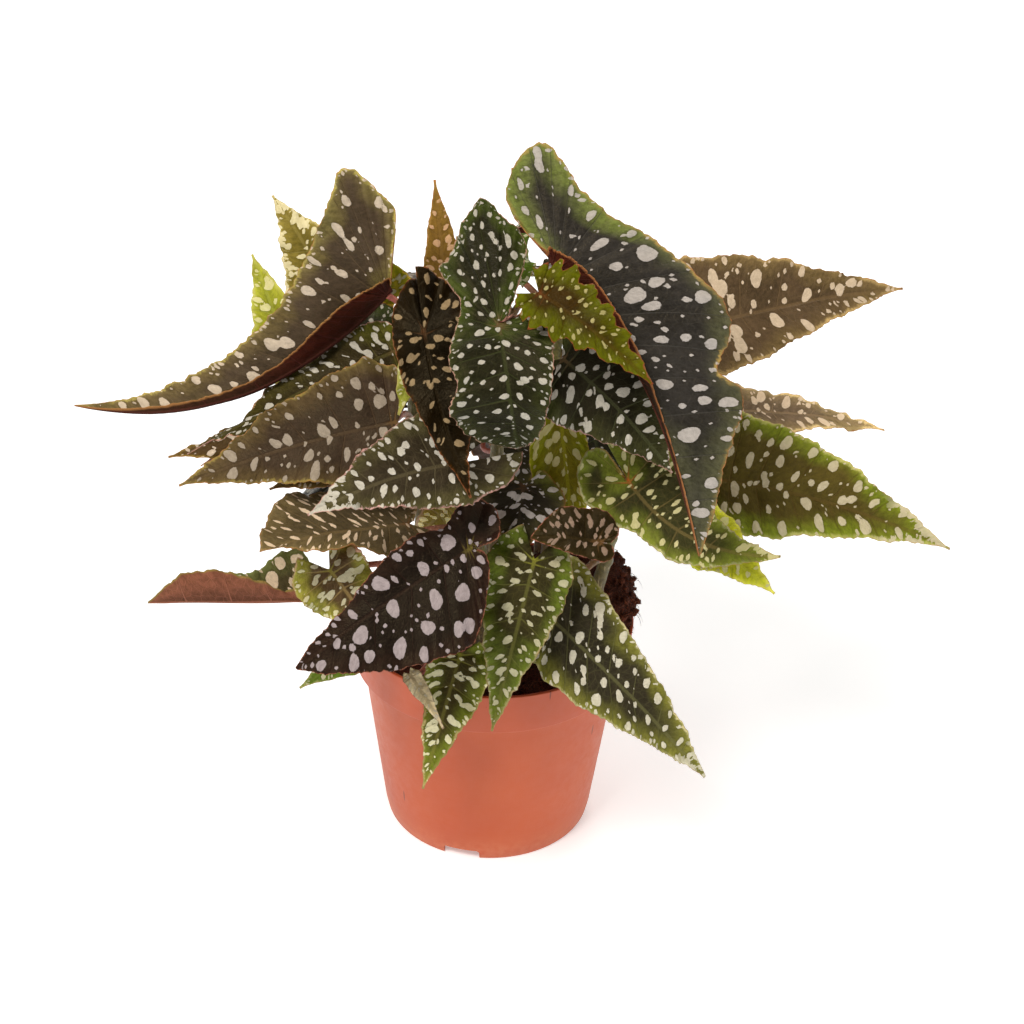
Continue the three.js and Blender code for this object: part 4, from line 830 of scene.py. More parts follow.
def leafSpine(leaf):
    # The midrib's point, tangent, normal and right-hand side, x mm from the joint
    joint, tip = np.array(leaf["joint"], float), np.array(leaf["tip"], float)
    control = (joint + tip) / 2 + leaf["bow"]
    pull = leaf.get("pull", 2 / 3)
    corners = (joint, joint + pull * (control - joint), tip + pull * (control - tip), tip)
    at, length = evenly(lambda s: bezier(corners, s))
    face = np.array(leaf["face"], float)
    tipFace = np.array(leaf.get("tipFace", leaf["face"]), float)

    def spine(x):
        x = np.asarray(x, dtype=float)
        share = np.clip(x / length, 0, 1)
        centre, tangent = at(share)
        centre = centre + np.minimum(x, 0)[..., None] * tangent
        turn = smooth(share)[..., None]
        normal = face * (1 - turn) + tipFace * turn
        normal = unit(normal - (normal * tangent).sum(-1, keepdims=True) * tangent)
        return centre, tangent, normal, np.cross(tangent, normal)
    return spine, length


def curveThrough(points):
    # A centripetal curve through the points, taking as much of s from each to the next
    points = [np.array(point, float) for point in points]
    points = [2 * points[0] - points[1]] + points + [2 * points[-1] - points[-2]]
    spans = len(points) - 3

    def curve(s):
        s = np.atleast_1d(np.asarray(s, float)) * spans
        place = np.minimum(s.astype(int), spans - 1)
        result = np.zeros(s.shape + points[0].shape)
        for piece in range(spans):
            p = points[piece:piece + 4]
            gaps = [np.linalg.norm(p[k + 1] - p[k]) ** 0.5 for k in range(3)]
            start = ((p[1] - p[0]) / gaps[0] - (p[2] - p[0]) / (gaps[0] + gaps[1])
                     + (p[2] - p[1]) / gaps[1]) * gaps[1]
            end = ((p[2] - p[1]) / gaps[1] - (p[3] - p[1]) / (gaps[1] + gaps[2])
                   + (p[3] - p[2]) / gaps[2]) * gaps[1]
            w = (s[place == piece] - piece)[:, None]
            result[place == piece] = (p[1] + start * w + (3 * (p[2] - p[1]) - 2 * start - end) * w ** 2
                                      + (2 * (p[1] - p[2]) + start + end) * w ** 3)
        return result
    return curve


def halfOutline(leaf, key, length, t):
    # From t = 0, the inner corner of the basal lobe, to t = 1, the tip: mm along and across
    if key + "Shape" in leaf:
        return curveThrough(leaf[key + "Shape"])(t).T
    half = leaf[key]
    width, lobe = half[:2]
    corner = math.radians(half[4] if len(half) > 4 else blade["corner"])
    widest = leaf.get("widest", blade["widest"]) * length
    lobeEnd = blade["lobeEnd"]
    angle = corner + (math.pi / 2 - corner) * np.clip(t / lobeEnd, 0, 1)
    run = np.clip((t - lobeEnd) / (1 - lobeEnd), 0, 1)
    x = np.where(t < lobeEnd, widest - (lobe + widest) * np.cos(angle), widest + (length - widest) * run)
    taperY = width * np.maximum(0, 1 - run ** blade["fullness"]) ** blade["taper"]
    y = np.where(t < lobeEnd, width * np.sin(angle), np.maximum(blade["tipHalfWidth"], taperY))
    teeth = leaf.get("teeth", blade["teeth"])
    cut = leaf.get("cut", blade["cut"])
    return x, y * (1 + cut * np.cos(2 * math.pi * teeth * t) * smooth(8 * (1 - t)))


def lateralStart(t, fan):
    # Where the side line of the same t starts on the midrib, as a share of it
    basal = np.minimum(t, fan) / fan * blade["basalRun"]
    return basal + (1 - blade["basalRun"]) * np.clip((t - fan) / (1 - fan), 0, 1) ** blade["crowding"]


def marginOffset(flat, outline):
    # mm from each flat point to the closed outline
    start, end = outline, np.roll(outline, -1, axis=0)
    step = end - start
    size = np.maximum((step ** 2).sum(-1), 1e-9)
    best = np.full(len(flat), 1e9)
    for lump in range(0, len(start), 40):
        a, d, n = start[lump:lump + 40], step[lump:lump + 40], size[lump:lump + 40]
        gap = flat[:, None, :] - a[None]
        along = np.clip((gap * d[None]).sum(-1) / n[None], 0, 1)
        best = np.minimum(best, np.linalg.norm(gap - along[..., None] * d[None], axis=-1).min(1))
    return best


def gridStations(leaf, length):
    # Shares t that leave about a grain from row to row, and the mm run along the longer margin
    t = np.linspace(0, 1, 401)
    steps = [np.linalg.norm(np.diff(halfOutline(leaf, key, length, t)), axis=0)
             for key in ("right", "left")]
    run = np.concatenate([[0], np.cumsum(np.maximum(*steps))])
    rows = max(24, int(run[-1] / (blade["grain"] * leaf.get("grain", 1))))
    marks = np.linspace(0, run[-1], rows + 1)
    return np.interp(marks, run, t), marks


def toothedEdge(draw, run, pitch, depth):
    # An irregular, finely toothed edge: how far it stands out at each place, in mm
    knots, heights = [0.0], [0.0]
    while knots[-1] < run[-1]:
        knots.append(knots[-1] + pitch * draw.uniform(0.5, 1.5))
        heights.append(depth * draw.uniform(0.3, 1) if len(knots) % 2 else -0.3 * depth * draw.random())
    return np.interp(run, knots, heights)


def halfSheet(draw, leaf, key, length, t, run):
    # One half from the midrib to the margin: flat place, place across and above, and outline
    width, _, fold, curl = leaf[key][:4]
    outX, outY = halfOutline(leaf, key, length, t)
    start = lateralStart(t, leaf.get("fan", blade["basalFan"])) * length
    line = np.hypot(outX - start, outY)
    scale = min(1.0, width / blade["fullSize"])
    calm = smooth(10 * (1 - t)) * smooth(6 * t)
    tooth = blade["toothDepth"] * leaf.get("toothy", 1)
    edge = toothedEdge(draw, run, blade["toothPitch"], tooth)
    edge = edge + toothedEdge(draw, run, blade["coarser"] * blade["toothPitch"], tooth)
    grow = 1 + scale * calm * edge / np.maximum(line, 4)
    outX, outY = start + (outX - start) * grow, outY * grow
    share = np.linspace(0, 1, max(5, int(line.max() / (blade["grain"] * leaf.get("grain", 1)))) + 1)
    v = share - 0.04 * np.sin(2 * math.pi * share)
    x = start[:, None] + (outX - start)[:, None] * v
    y = outY[:, None] * v
    bend, lean = math.radians(curl or 0.01) / width, math.radians(fold)
    swing = lean + bend * y
    phase = leaf.get("phase", 0) + (0 if key == "right" else blade["rippleShift"])
    swell = leaf["wave"] * np.sin(2 * math.pi * blade["ripples"] * t + phase)
    turns = 2 * math.pi * run / blade["rufflePitch"]
    fine = sum(np.sin(rate * turns + draw.uniform(0, 6.3)) for rate in blade["ruffleRates"])
    fine = fine * blade["ruffle"] * scale
    above = v ** blade["rippleSpread"] * swell[:, None] + v ** 3 * fine[:, None]
    above = above * smooth(6 * (1 - t))[:, None] + (math.cos(lean) - np.cos(swing)) / bend
    return x, y, (np.sin(swing) - math.sin(lean)) / bend, above, v, np.stack([outX, outY], axis=-1)


def layDots(seed, look, scale, flat, area, toVein, margin, heading):
    # Lays dots out clear of the veins, the margin and each other, large ones first, and
    # returns how many mm each point of the blade lies inside the nearest dot
    rng = np.random.default_rng(seed)
    placed = np.zeros((0, 3))
    inside = np.full(len(flat), -3.0)
    for size, gap in look["sizes"]:
        for i in rng.choice(len(flat), blade["dotTries"], p=area / area.sum()):
            radius = scale * size * rng.uniform(*blade["dotRange"])
            fit = min(radius, 0.8 * toVein[i] + 0.3, 0.75 * margin[i] - 0.3)
            far = np.hypot(placed[:, 0] - flat[i, 0], placed[:, 1] - flat[i, 1])
            merges = rng.random() < blade["merging"]
            clear = -0.3 * radius if merges else scale * gap * rng.uniform(*blade["gapRange"])
            if fit < blade["squeeze"] * radius or (far < placed[:, 2] + fit + clear).any():
                continue
            placed = np.append(placed, [(*flat[i], fit)], axis=0)
            longer = rng.uniform(1 + 0.3 * (look["stretch"] - 1), look["stretch"]) ** 0.5
            gapX, gapY = (flat - flat[i]).T
            u = (gapX * heading[i, 0] + gapY * heading[i, 1]) / longer
            w = (gapY * heading[i, 0] - gapX * heading[i, 1]) * longer
            angle = np.arctan2(w, u)
            lumps = blade["lumps"][0] * np.cos(2 * angle + rng.uniform(0, 6.3))
            lumps += blade["lumps"][1] * np.cos(3 * angle + rng.uniform(0, 6.3))
            inside = np.maximum(inside, fit * (1 + lumps) - np.hypot(u, w))
    return inside


def veinField(t, run, flat):
    # How many side veins lie below each point, and how many mm it is from vein to vein there
    veinCount = int(np.clip(run[-1] / blade["veinPitch"], blade["fewestVeins"], blade["mostVeins"]))
    shares = [0.04 + 0.92 * ((k + 0.5) / veinCount) ** 0.92 for k in range(veinCount)]
    count = np.interp(t, [0, *shares, 1], np.arange(veinCount + 2))[:, None] + 0 * flat[..., 0]
    down = np.gradient(flat, axis=0)
    veinGap = np.linalg.norm(down, axis=-1) / np.maximum(np.gradient(count, axis=0), 1e-6)
    count[0], count[-1] = 0.5, veinCount + 0.5
    return count, veinGap


def thicknessAt(along, margin, toRib, toVein, apart):
    # Thin at the rim, with the midrib and the side veins raised on the underside
    rim, whole = blade["rimThickness"], blade["thickness"]
    thick = rim + (whole - rim) * smooth(margin / blade["rimReach"])
    midrib = blade["ribHeight"] * np.exp(-(toRib / blade["ribReach"]) ** 2)
    thick += midrib * (1 - along) * smooth(margin / 3)
    thick += blade["veinHeight"] * np.exp(-(toVein / blade["veinReach"]) ** 2) * apart
    return thick


def makeLeaf(number, name, leaf):
    # Both halves side by side, then veins, dots, relief, thickness and the sheet itself
    draw = random.Random(name)
    spine, length = leafSpine(leaf)
    t, run = gridStations(leaf, length)
    right = halfSheet(draw, leaf, "right", length, t, run)
    left = halfSheet(draw, leaf, "left", length, t, run)

    def joined(k, sign):
        return np.concatenate([sign * left[k][:, :0:-1], right[k]], axis=1)

    flatX, flatY, across, above = joined(0, 1), joined(1, -1), joined(2, -1), joined(3, 1)
    v = np.concatenate([left[4][:0:-1], right[4]])
    outline = np.concatenate([right[5], left[5][::-1] * (1, -1)])
    size = flatX.shape
    flat = np.stack([flatX, flatY], axis=-1)
    count, veinGap = veinField(t, run, flat)
    toVein = np.abs(count - np.round(count)) * veinGap
    toRib = np.hypot(np.minimum(flatX, 0), flatY)
    nearest = np.minimum(toVein, toRib)
    margin = marginOffset(flat.reshape(-1, 2), outline).reshape(size)
    down, over = np.gradient(flat, axis=0), np.gradient(flat, axis=1)
    area = np.abs(down[..., 0] * over[..., 1] - down[..., 1] * over[..., 0])
    heading = unit(over * np.where(flatY < 0, -1, 1)[..., None])
    inside = layDots(number, leafLooks[leaf["look"]], leaf.get("dotScale", 1), flat.reshape(-1, 2),
                     area.ravel(), nearest.ravel(), margin.ravel(), heading.reshape(-1, 2))
    waves = [(draw.uniform(0.08, 0.16), draw.uniform(0.08, 0.16), draw.uniform(0, 6.3)) for _ in range(3)]
    lumps = sum(np.sin(a * flatX + b * flatY + c) for a, b, c in waves) / 3
    apart = np.clip(veinGap / blade["openGap"], 0, 1) * smooth(np.minimum(toRib, margin) / 4)
    above += blade["wobble"] * lumps * smooth(margin / blade["calmRim"])
    above -= blade["quilt"] * np.exp(-(nearest / blade["quiltReach"]) ** 2) * apart
    centre, _, normal, side = spine(flatX)
    top = centre + side * across[..., None] + normal * above[..., None]
    out = unit(np.cross(np.gradient(top, axis=1), np.gradient(top, axis=0)))
    along = np.clip(flatX / length, 0, 1)
    under = top - out * thicknessAt(along, margin, toRib, toVein, apart)[..., None]
    faces, kinds = sheetFaces(*size)
    # Each leaf takes its own patch of the pattern, which leans to the tip away from the midrib
    patch = (311.0 * (number % 17), 173.0 * (number // 17))
    place = np.stack([flatX - 0.55 * np.abs(flatY) + patch[0], flatY / 1.22 + patch[1], 0 * flatX], axis=-1)
    fields = {"place": place, "veins": np.stack([count, veinGap, toRib], axis=-1), "margin": margin,
              "along": along, "across": v[None] + 0 * flatX, "inside": inside.reshape(size),
              "fromJoint": np.hypot(flatX, flatY),
              "tint": np.ones((*size, 3)) * leaf.get("tint", (1, 1, 1)),
              "dotTone": np.full(size, leaf.get("dotTone", 1.0))}
    return addPiece(
        name.replace("leaf_", "blade_"), np.concatenate([top.reshape(-1, 3), under.reshape(-1, 3)]), faces,
        leafMaterials[leaf["look"]], (name,), kinds,
        {key: np.concatenate([field.reshape(-1, *field.shape[2:])] * 2) for key, field in fields.items()})


def sheetFaces(rows, width):
    # Faces of a sheet's top and underside and of the rim between them, and each face's material
    index = np.arange(rows * width).reshape(rows, width)
    a, b, d, e = index[:-1, :-1], index[:-1, 1:], index[1:, :-1], index[1:, 1:]
    top = np.stack([a, b, e, d], axis=-1).reshape(-1, 4)
    under = top[:, ::-1] + rows * width
    edge = np.concatenate([index[0], index[1:, -1], index[-1, -2::-1], index[-2:0:-1, 0]])
    following = np.roll(edge, -1)
    rim = np.stack([following, edge, edge + rows * width, following + rows * width], axis=-1)
    faces = np.concatenate([top, under, rim])
    kinds = np.concatenate([np.zeros(len(top)), np.ones(len(under)), np.zeros(len(rim))])
    return faces.tolist(), kinds


for number, (name, leaf) in enumerate(leaves.items()):
    makeLeaf(number, name, leaf)
print("leaves done")


# Canes and petioles, in mm. depth: how far a cane stands in the peat. petiole, petioleTip: radii.
# rise: how steeply a petiole leaves. arrival: its last straight run. inset, sink: where it meets
# the blade. nodeGap, nodeSwell, nodeReach: the cane's joints. collar and foot: a petiole's ends.
stem = {
    "radius": 3.4, "topRadius": 2.2, "depth": 22, "petiole": 1.5, "petioleTip": 1.1,
    "rise": 0.3, "arrival": 12, "inset": 3, "sink": 0.8,
    "nodeGap": 24, "nodeSwell": 0.75, "nodeReach": 1.8, "roundedFrom": 0.985,
    "collar": 0.9, "collarReach": 2.5, "foot": 0.5, "footReach": 1.2,
    "steps": 90, "sides": 20, "petioleSteps": 34, "petioleSides": 12,
    "hairs": 70, "hairLength": 1.3, "hairRadius": 0.07,
}
# low, high: colours at the foot and at the leaf. glow: share of light let through.
stemFinishes = {
    "cane": {"low": (92, 62, 38), "high": (112, 108, 52), "speck": (178, 160, 116), "glow": 0.05},
    "petiole": {"low": (118, 96, 52), "high": (186, 104, 92), "speck": (206, 160, 130), "glow": 0.15},
}


def caneCurve(cane):
    base, top = np.array(cane["base"], float), np.array(cane["top"], float)
    return curveThrough([base - (0, 0, stem["depth"]), base, (base + top) / 2 + cane["bow"], top])


def petioleCurve(leaf, start):
    # From the cane to the blade, which it meets from below along the bisector of the fold
    spine, _ = leafSpine(leaf)
    centre, _, normal, right = spine(stem["inset"])
    tilt = math.radians((leaf["left"][2] - leaf["right"][2]) / 2)
    out = normal * math.cos(tilt) + right * math.sin(tilt)
    end = centre - out * stem["sink"]
    reach = np.linalg.norm(end - start)
    leave = start + (end - start) / 3 + np.array((0, 0, stem["rise"] * reach))
    return lambda s: bezier((start, leave, end - out * min(stem["arrival"], reach / 3), end), s)


def tube(curve, steps, sides, radiusAt):
    # A round stem: its points, its faces, and each point's share of the length
    at, length = evenly(curve)
    shares = np.linspace(0, 1, steps + 1)
    centre, tangent = at(shares)
    normal = unit(np.cross(tangent[0], (0.31, 0.95, 0.05)))
    rings = []
    for k in range(steps + 1):
        normal = unit(normal - (normal @ tangent[k]) * tangent[k])
        side = np.cross(tangent[k], normal)
        angle = np.linspace(0, 2 * math.pi, sides, endpoint=False)[:, None]
        radius = radiusAt(shares[k], shares[k] * length, length)
        rings.append(centre[k] + radius * (np.cos(angle) * normal + np.sin(angle) * side))
    points = np.concatenate(rings)
    faces = []
    for k in range(steps):
        for j in range(sides):
            low, high, n = k * sides, (k + 1) * sides, (j + 1) % sides
            faces.append((low + j, low + n, high + n, high + j))
    faces.append(tuple(range(sides))[::-1])
    faces.append(tuple(steps * sides + j for j in range(sides)))
    return points, faces, np.repeat(shares, sides)


def makeStemMaterial(name, low, high, speck, glow):
    material, tree, skin, out = startMaterial(name)
    place = attribute(tree, "place").outputs["Vector"]
    along = attribute(tree, "along").outputs["Fac"]
    mottle = useGroup(tree, mottleGroup, Place=place, SlowScale=0.08, QuickScale=0.7)
    base = blendColour(tree, ramp(tree, along, 0.05, 0.95), srgb(*low), srgb(*high))
    tone = calc(tree, "MULTIPLY_ADD", mottle["Quick"], 0.7, 0.65)
    base = blendColour(tree, 1.0, base, tone, "MULTIPLY")
    stretched = vectorCalc(tree, "MULTIPLY", place, (1.0, 1.0, 0.4))
    fleck = cells(tree, stretched, 0.55).outputs["Distance"]
    base = blendColour(tree, ramp(tree, fleck, 0.1, 0.22, 0.75, 0.0), base, srgb(*speck))
    feed(tree, skin.inputs["Base Color"], base)
    feed(tree, skin.inputs["Roughness"], calc(tree, "MULTIPLY_ADD", mottle["Quick"], 0.2, 0.35))
    bump(tree, skin, calc(tree, "ADD", mottle["Quick"], ramp(tree, fleck, 0.1, 0.25, 0.6, 0.0)), 0.25 * mm)
    letThrough(tree, skin, out, base, glow)
    return material


stemMaterials = [makeStemMaterial(name, **finish) for name, finish in stemFinishes.items()]


def makeStem(key, cane):
    # A cane with its swollen joints, the petioles that leave it, and their short hairs
    draw = random.Random("stem " + key)
    steps, sides = stem["petioleSteps"], stem["petioleSides"]
    curve = caneCurve(cane)
    mine = [leaf for leaf in leaves.values() if leaf["cane"] == key]
    at, length = evenly(curve)
    knots = [leaf["at"] * length for leaf in mine]
    knots += [k * stem["nodeGap"] + draw.uniform(-3, 3) for k in range(1, int(length / stem["nodeGap"]))]

    def caneRadius(share, run, _):
        radius = stem["radius"] + (stem["topRadius"] - stem["radius"]) * share
        swell = max(math.exp(-((run - knot) / stem["nodeReach"]) ** 2) for knot in knots)
        end = max(0, (share - stem["roundedFrom"]) / (1 - stem["roundedFrom"]))
        return (radius + stem["nodeSwell"] * swell) * (1 - 0.75 * end ** 2)

    def petioleRadius(share, run, whole):
        radius = stem["petiole"] + (stem["petioleTip"] - stem["petiole"]) * share
        collar = stem["collar"] * math.exp(-run / stem["collarReach"])
        return radius + collar + stem["foot"] * math.exp(-(whole - run) / stem["footReach"])

    points, faces, along = tube(curve, stem["steps"], stem["sides"], caneRadius)
    allPoints, allFaces, allAlong, kinds = [points], list(faces), [along], [0] * len(faces)
    offset = len(points)
    for leaf in mine:
        start = at(leaf["at"])[0].reshape(3)
        petiole = tube(petioleCurve(leaf, start), steps, sides, petioleRadius)
        hairs = petioleHairs(petiole[0].reshape(steps + 1, sides, 3), draw)
        for pointSet, faceSet, alongSet in (petiole, hairs):
            allFaces += [tuple(i + offset for i in face) for face in faceSet]
            kinds += [1] * len(faceSet)
            allPoints.append(pointSet)
            allAlong.append(alongSet)
            offset += len(pointSet)
    points = np.concatenate(allPoints)
    addPiece("stem_" + key, points, allFaces, stemMaterials, ("cane_" + key,),
             kinds, {"place": points, "along": np.concatenate(allAlong)})


def petioleHairs(rings, draw):
    # Short three-sided hairs that stand off the petiole's skin
    points, faces, along = [], [], []
    steps, sides = stem["petioleSteps"], stem["petioleSides"]
    for _ in range(stem["hairs"]):
        k, j = draw.randrange(2, steps - 1), draw.randrange(sides)
        root = rings[k, j] + (rings[k + 1, j] - rings[k, j]) * draw.random()
        out = unit(rings[k, j] - rings[k].mean(0))
        lean = unit(out + 0.5 * np.array([draw.uniform(-1, 1) for _ in range(3)]))
        side = unit(np.cross(lean, (0.3, 0.2, 0.9)))
        other = np.cross(lean, side)
        base = len(points)
        for angle in (0, 2.1, 4.2):
            around = math.cos(angle) * side + math.sin(angle) * other
            points.append(root - 0.1 * out + stem["hairRadius"] * around)
        points.append(root + lean * stem["hairLength"] * draw.uniform(0.5, 1))
        along += [k / steps] * 4
        faces += [(base, base + 1, base + 3), (base + 1, base + 2, base + 3), (base + 2, base, base + 3),
                  (base + 2, base + 1, base)]
    return np.array(points), faces, np.array(along)


for key, cane in canes.items():
    makeStem(key, cane)
print("stems done")


# Pot: the CAD profile with its corners rounded, in mm and degrees
pot = {
    "rimRadius": 60, "height": 96.8, "wall": 1.4, "collarHeight": 19.3, "collarFlare": 1.8,
    "collarStep": 3.6, "baseRadius": 45.2, "footHeight": 5.5, "footInset": 1.2, "footWidth": 1.8,
    "standRadius": 16, "channelRise": 4, "draft": 0.4, "bevel": 0.4, "notches": 3, "drains": 6,
    "notchAngle": 20, "firstNotch": -104, "notchHeight": 4.4, "drainRadius": 4, "drainCircle": 29,
    "sides": 180, "rounding": 0.7, "sharpAngle": 40, "longest": 6,
}
collarBottom = pot["height"] - pot["collarHeight"]
collarRadius = pot["rimRadius"] - pot["collarFlare"]
shoulder = collarRadius - pot["collarStep"]


def potInside():
    wall, floor = pot["wall"], pot["channelRise"] + pot["wall"]
    return [(pot["baseRadius"] - wall - 3, floor), (pot["baseRadius"] - wall - 1, floor + 1.5),
            (shoulder - wall, collarBottom - 2), (collarRadius - wall, collarBottom + 1.5),
            (pot["rimRadius"] - wall, pot["height"])]


def potProfile():
    foot, draft, bevel = pot["baseRadius"] - pot["footInset"], pot["draft"], pot["bevel"]
    rise, wall, stand = pot["channelRise"], pot["wall"], pot["standRadius"]
    return [(0, 0), (stand, 0), (stand + draft, rise), (foot - pot["footWidth"] - draft, rise),
            (foot - pot["footWidth"], 0), (foot, 0), (pot["baseRadius"], pot["footHeight"]),
            (shoulder, collarBottom - bevel), (collarRadius, collarBottom),
            (pot["rimRadius"], pot["height"] - bevel), (pot["rimRadius"] - bevel, pot["height"]),
            *reversed(potInside()), (stand + wall, rise + wall), (stand - wall, wall), (0, wall)]


def rounded(profile, radius, steps=4):
    # Cuts each corner with a short arc, and adds points along the long straights
    result = [np.array(profile[0], float)]
    for before, corner, after in zip(profile, profile[1:], profile[2:]):
        before, corner, after = (np.array(p, float) for p in (before, corner, after))
        back, ahead = before - corner, after - corner
        cut = min(radius, 0.45 * np.linalg.norm(back), 0.45 * np.linalg.norm(ahead))
        first, last = corner + unit(back) * cut, corner + unit(ahead) * cut
        for k in range(steps + 1):
            s = k / steps
            result.append((1 - s) ** 2 * first + 2 * s * (1 - s) * corner + s ** 2 * last)
    result.append(np.array(profile[-1], float))
    filled = [result[0]]
    for point in result[1:]:
        pieces = max(1, int(np.linalg.norm(point - filled[-1]) / pot["longest"]))
        start = filled[-1]
        filled += [start + (point - start) * (k + 1) / pieces for k in range(pieces)]
    return filled


def turned(profile, sides):
    points, faces = [], []
    rows = []
    for r, z in profile:
        if r < 1e-6:
            rows.append([len(points)])
            points.append((0, 0, z))
        else:
            rows.append(list(range(len(points), len(points) + sides)))
            points += [(r * math.cos(2 * math.pi * k / sides), r * math.sin(2 * math.pi * k / sides), z)
                       for k in range(sides)]
    for low, high in zip(rows, rows[1:]):
        for k in range(sides):
            n = (k + 1) % sides
            if len(low) == 1:
                faces.append((low[0], high[n], high[k]))
            elif len(high) == 1:
                faces.append((low[k], low[n], high[0]))
            else:
                faces.append((low[k], low[n], high[n], high[k]))
    return points, faces


# Plastic of the pot: colours from 0 to 255, and how strongly collar, dust and grime show
potFinish = {
    "body": (182, 77, 33), "warm": (190, 85, 39), "collar": (185, 79, 43), "dust": (210, 140, 104),
    "grime": (70, 36, 24), "collarShare": 0.55, "dustShare": 0.35, "dustTop": 16, "grimeShare": 0.7,
    "roughness": 0.42, "specular": 0.5, "relief": 0.05,
}


def makePotMaterial():
    material, tree, skin, _ = startMaterial("potPlastic")
    place = tree.nodes.new("ShaderNodeNewGeometry").outputs["Position"]
    place = vectorCalc(tree, "SCALE", place, (0, 0, 0), 1000)
    mottle = useGroup(tree, mottleGroup, Place=place, SlowScale=0.02, QuickScale=0.25)
    parts = tree.nodes.new("ShaderNodeSeparateXYZ")
    feed(tree, parts.inputs[0], place)
    height = parts.outputs["Z"]
    base = blendColour(tree, mottle["Slow"], srgb(*potFinish["body"]), srgb(*potFinish["warm"]))
    collar = ramp(tree, height, collarBottom - 1, collarBottom + 1, 0.0, potFinish["collarShare"])
    base = blendColour(tree, collar, base, srgb(*potFinish["collar"]))
    dust = ramp(tree, height, 2.0, potFinish["dustTop"], potFinish["dustShare"], 0.0)
    dust = calc(tree, "MULTIPLY", dust, mottle["Quick"])
    base = blendColour(tree, dust, base, srgb(*potFinish["dust"]))
    speck = cells(tree, vectorCalc(tree, "MULTIPLY", place, (1, 0.7, 1)), 0.05)
    grime = ramp(tree, speck.outputs["Distance"], 0.012, 0.02, potFinish["grimeShare"], 0.0)
    base = blendColour(tree, grime, base, srgb(*potFinish["grime"]))
    feed(tree, skin.inputs["Base Color"], base)
    feed(tree, skin.inputs["Roughness"],
         calc(tree, "MULTIPLY_ADD", mottle["Quick"], 0.12, potFinish["roughness"]))
    skin.inputs["Specular IOR Level"].default_value = potFinish["specular"]
    fine = noise(tree, place, 1.6, 3.0, 0.6).outputs[0]
    rings = noise(tree, vectorCalc(tree, "MULTIPLY", place, (0.01, 0.01, 0.9)), 1.0).outputs[0]
    bump(tree, skin, calc(tree, "MULTIPLY_ADD", rings, 0.6, fine), potFinish["relief"] * mm)
    return material


def cutAway(piece, cutters):
    # Takes the cutters out of a piece, one after another
    for cutter in cutters:
        modifier = piece.modifiers.new("cut", "BOOLEAN")
        modifier.operation = "DIFFERENCE"
        modifier.solver = "EXACT"
        modifier.object = cutter
    bpy.context.view_layer.update()
    shaped = piece.evaluated_get(bpy.context.evaluated_depsgraph_get())
    mesh = bpy.data.meshes.new_from_object(shaped)
    piece.modifiers.clear()
    piece.data = mesh
    for cutter in cutters:
        bpy.data.objects.remove(cutter)


def makePot():
    points, faces = turned(rounded(potProfile(), pot["rounding"]), pot["sides"])
    piece = addPiece("potShell", points, faces, (makePotMaterial(),), ("pot",))
    cutters = []
    foot = pot["baseRadius"] - pot["footInset"]
    width = 2 * pot["baseRadius"] * math.sin(math.radians(pot["notchAngle"] / 2))
    for k in range(pot["notches"]):
        angle = math.radians(pot["firstNotch"]) + 2 * math.pi * k / pot["notches"]
        shape = bmesh.new()
        bmesh.ops.create_cube(shape, size=1)
        bmesh.ops.scale(shape, verts=shape.verts, vec=(4 * pot["footWidth"] * mm, width * mm,
                                                       2 * pot["notchHeight"] * mm))
        bmesh.ops.bevel(shape, geom=shape.edges[:], offset=0.7 * mm, segments=3, affect="EDGES")
        cutters.append(addCutter(shape, foot, angle, 0))
    for k in range(pot["drains"]):
        angle = math.radians(pot["firstNotch"]) + 2 * math.pi * (k + 0.5) / pot["drains"]
        hole = bmesh.new()
        bmesh.ops.create_cone(hole, cap_ends=True, segments=36, radius1=pot["drainRadius"] * mm,
                              radius2=pot["drainRadius"] * mm, depth=4 * pot["wall"] * mm)
        cutters.append(addCutter(hole, pot["drainCircle"], angle, pot["channelRise"] + pot["wall"]))
    cutAway(piece, cutters)
    shadeByAngle(piece, pot["sharpAngle"])


def addCutter(shape, radius, angle, height):
    # Stands a cutting shape this far from the axis and this high, turned to face it
    mesh = bpy.data.meshes.new("cutter")
    shape.to_mesh(mesh)
    shape.free()
    cutter = bpy.data.objects.new("cutter", mesh)
    bpy.context.scene.collection.objects.link(cutter)
    cutter.matrix_world = Matrix.Translation((radius * math.cos(angle) * mm, radius * math.sin(angle) * mm,
                                              height * mm)) @ Matrix.Rotation(angle, 4, "Z")
    return cutter


def shadeByAngle(piece, degrees):
    mesh = piece.data
    mesh.polygons.foreach_set("use_smooth", np.ones(len(mesh.polygons), dtype=bool))
    mesh.set_sharp_from_angle(angle=math.radians(degrees))


makePot()
print("pot done")


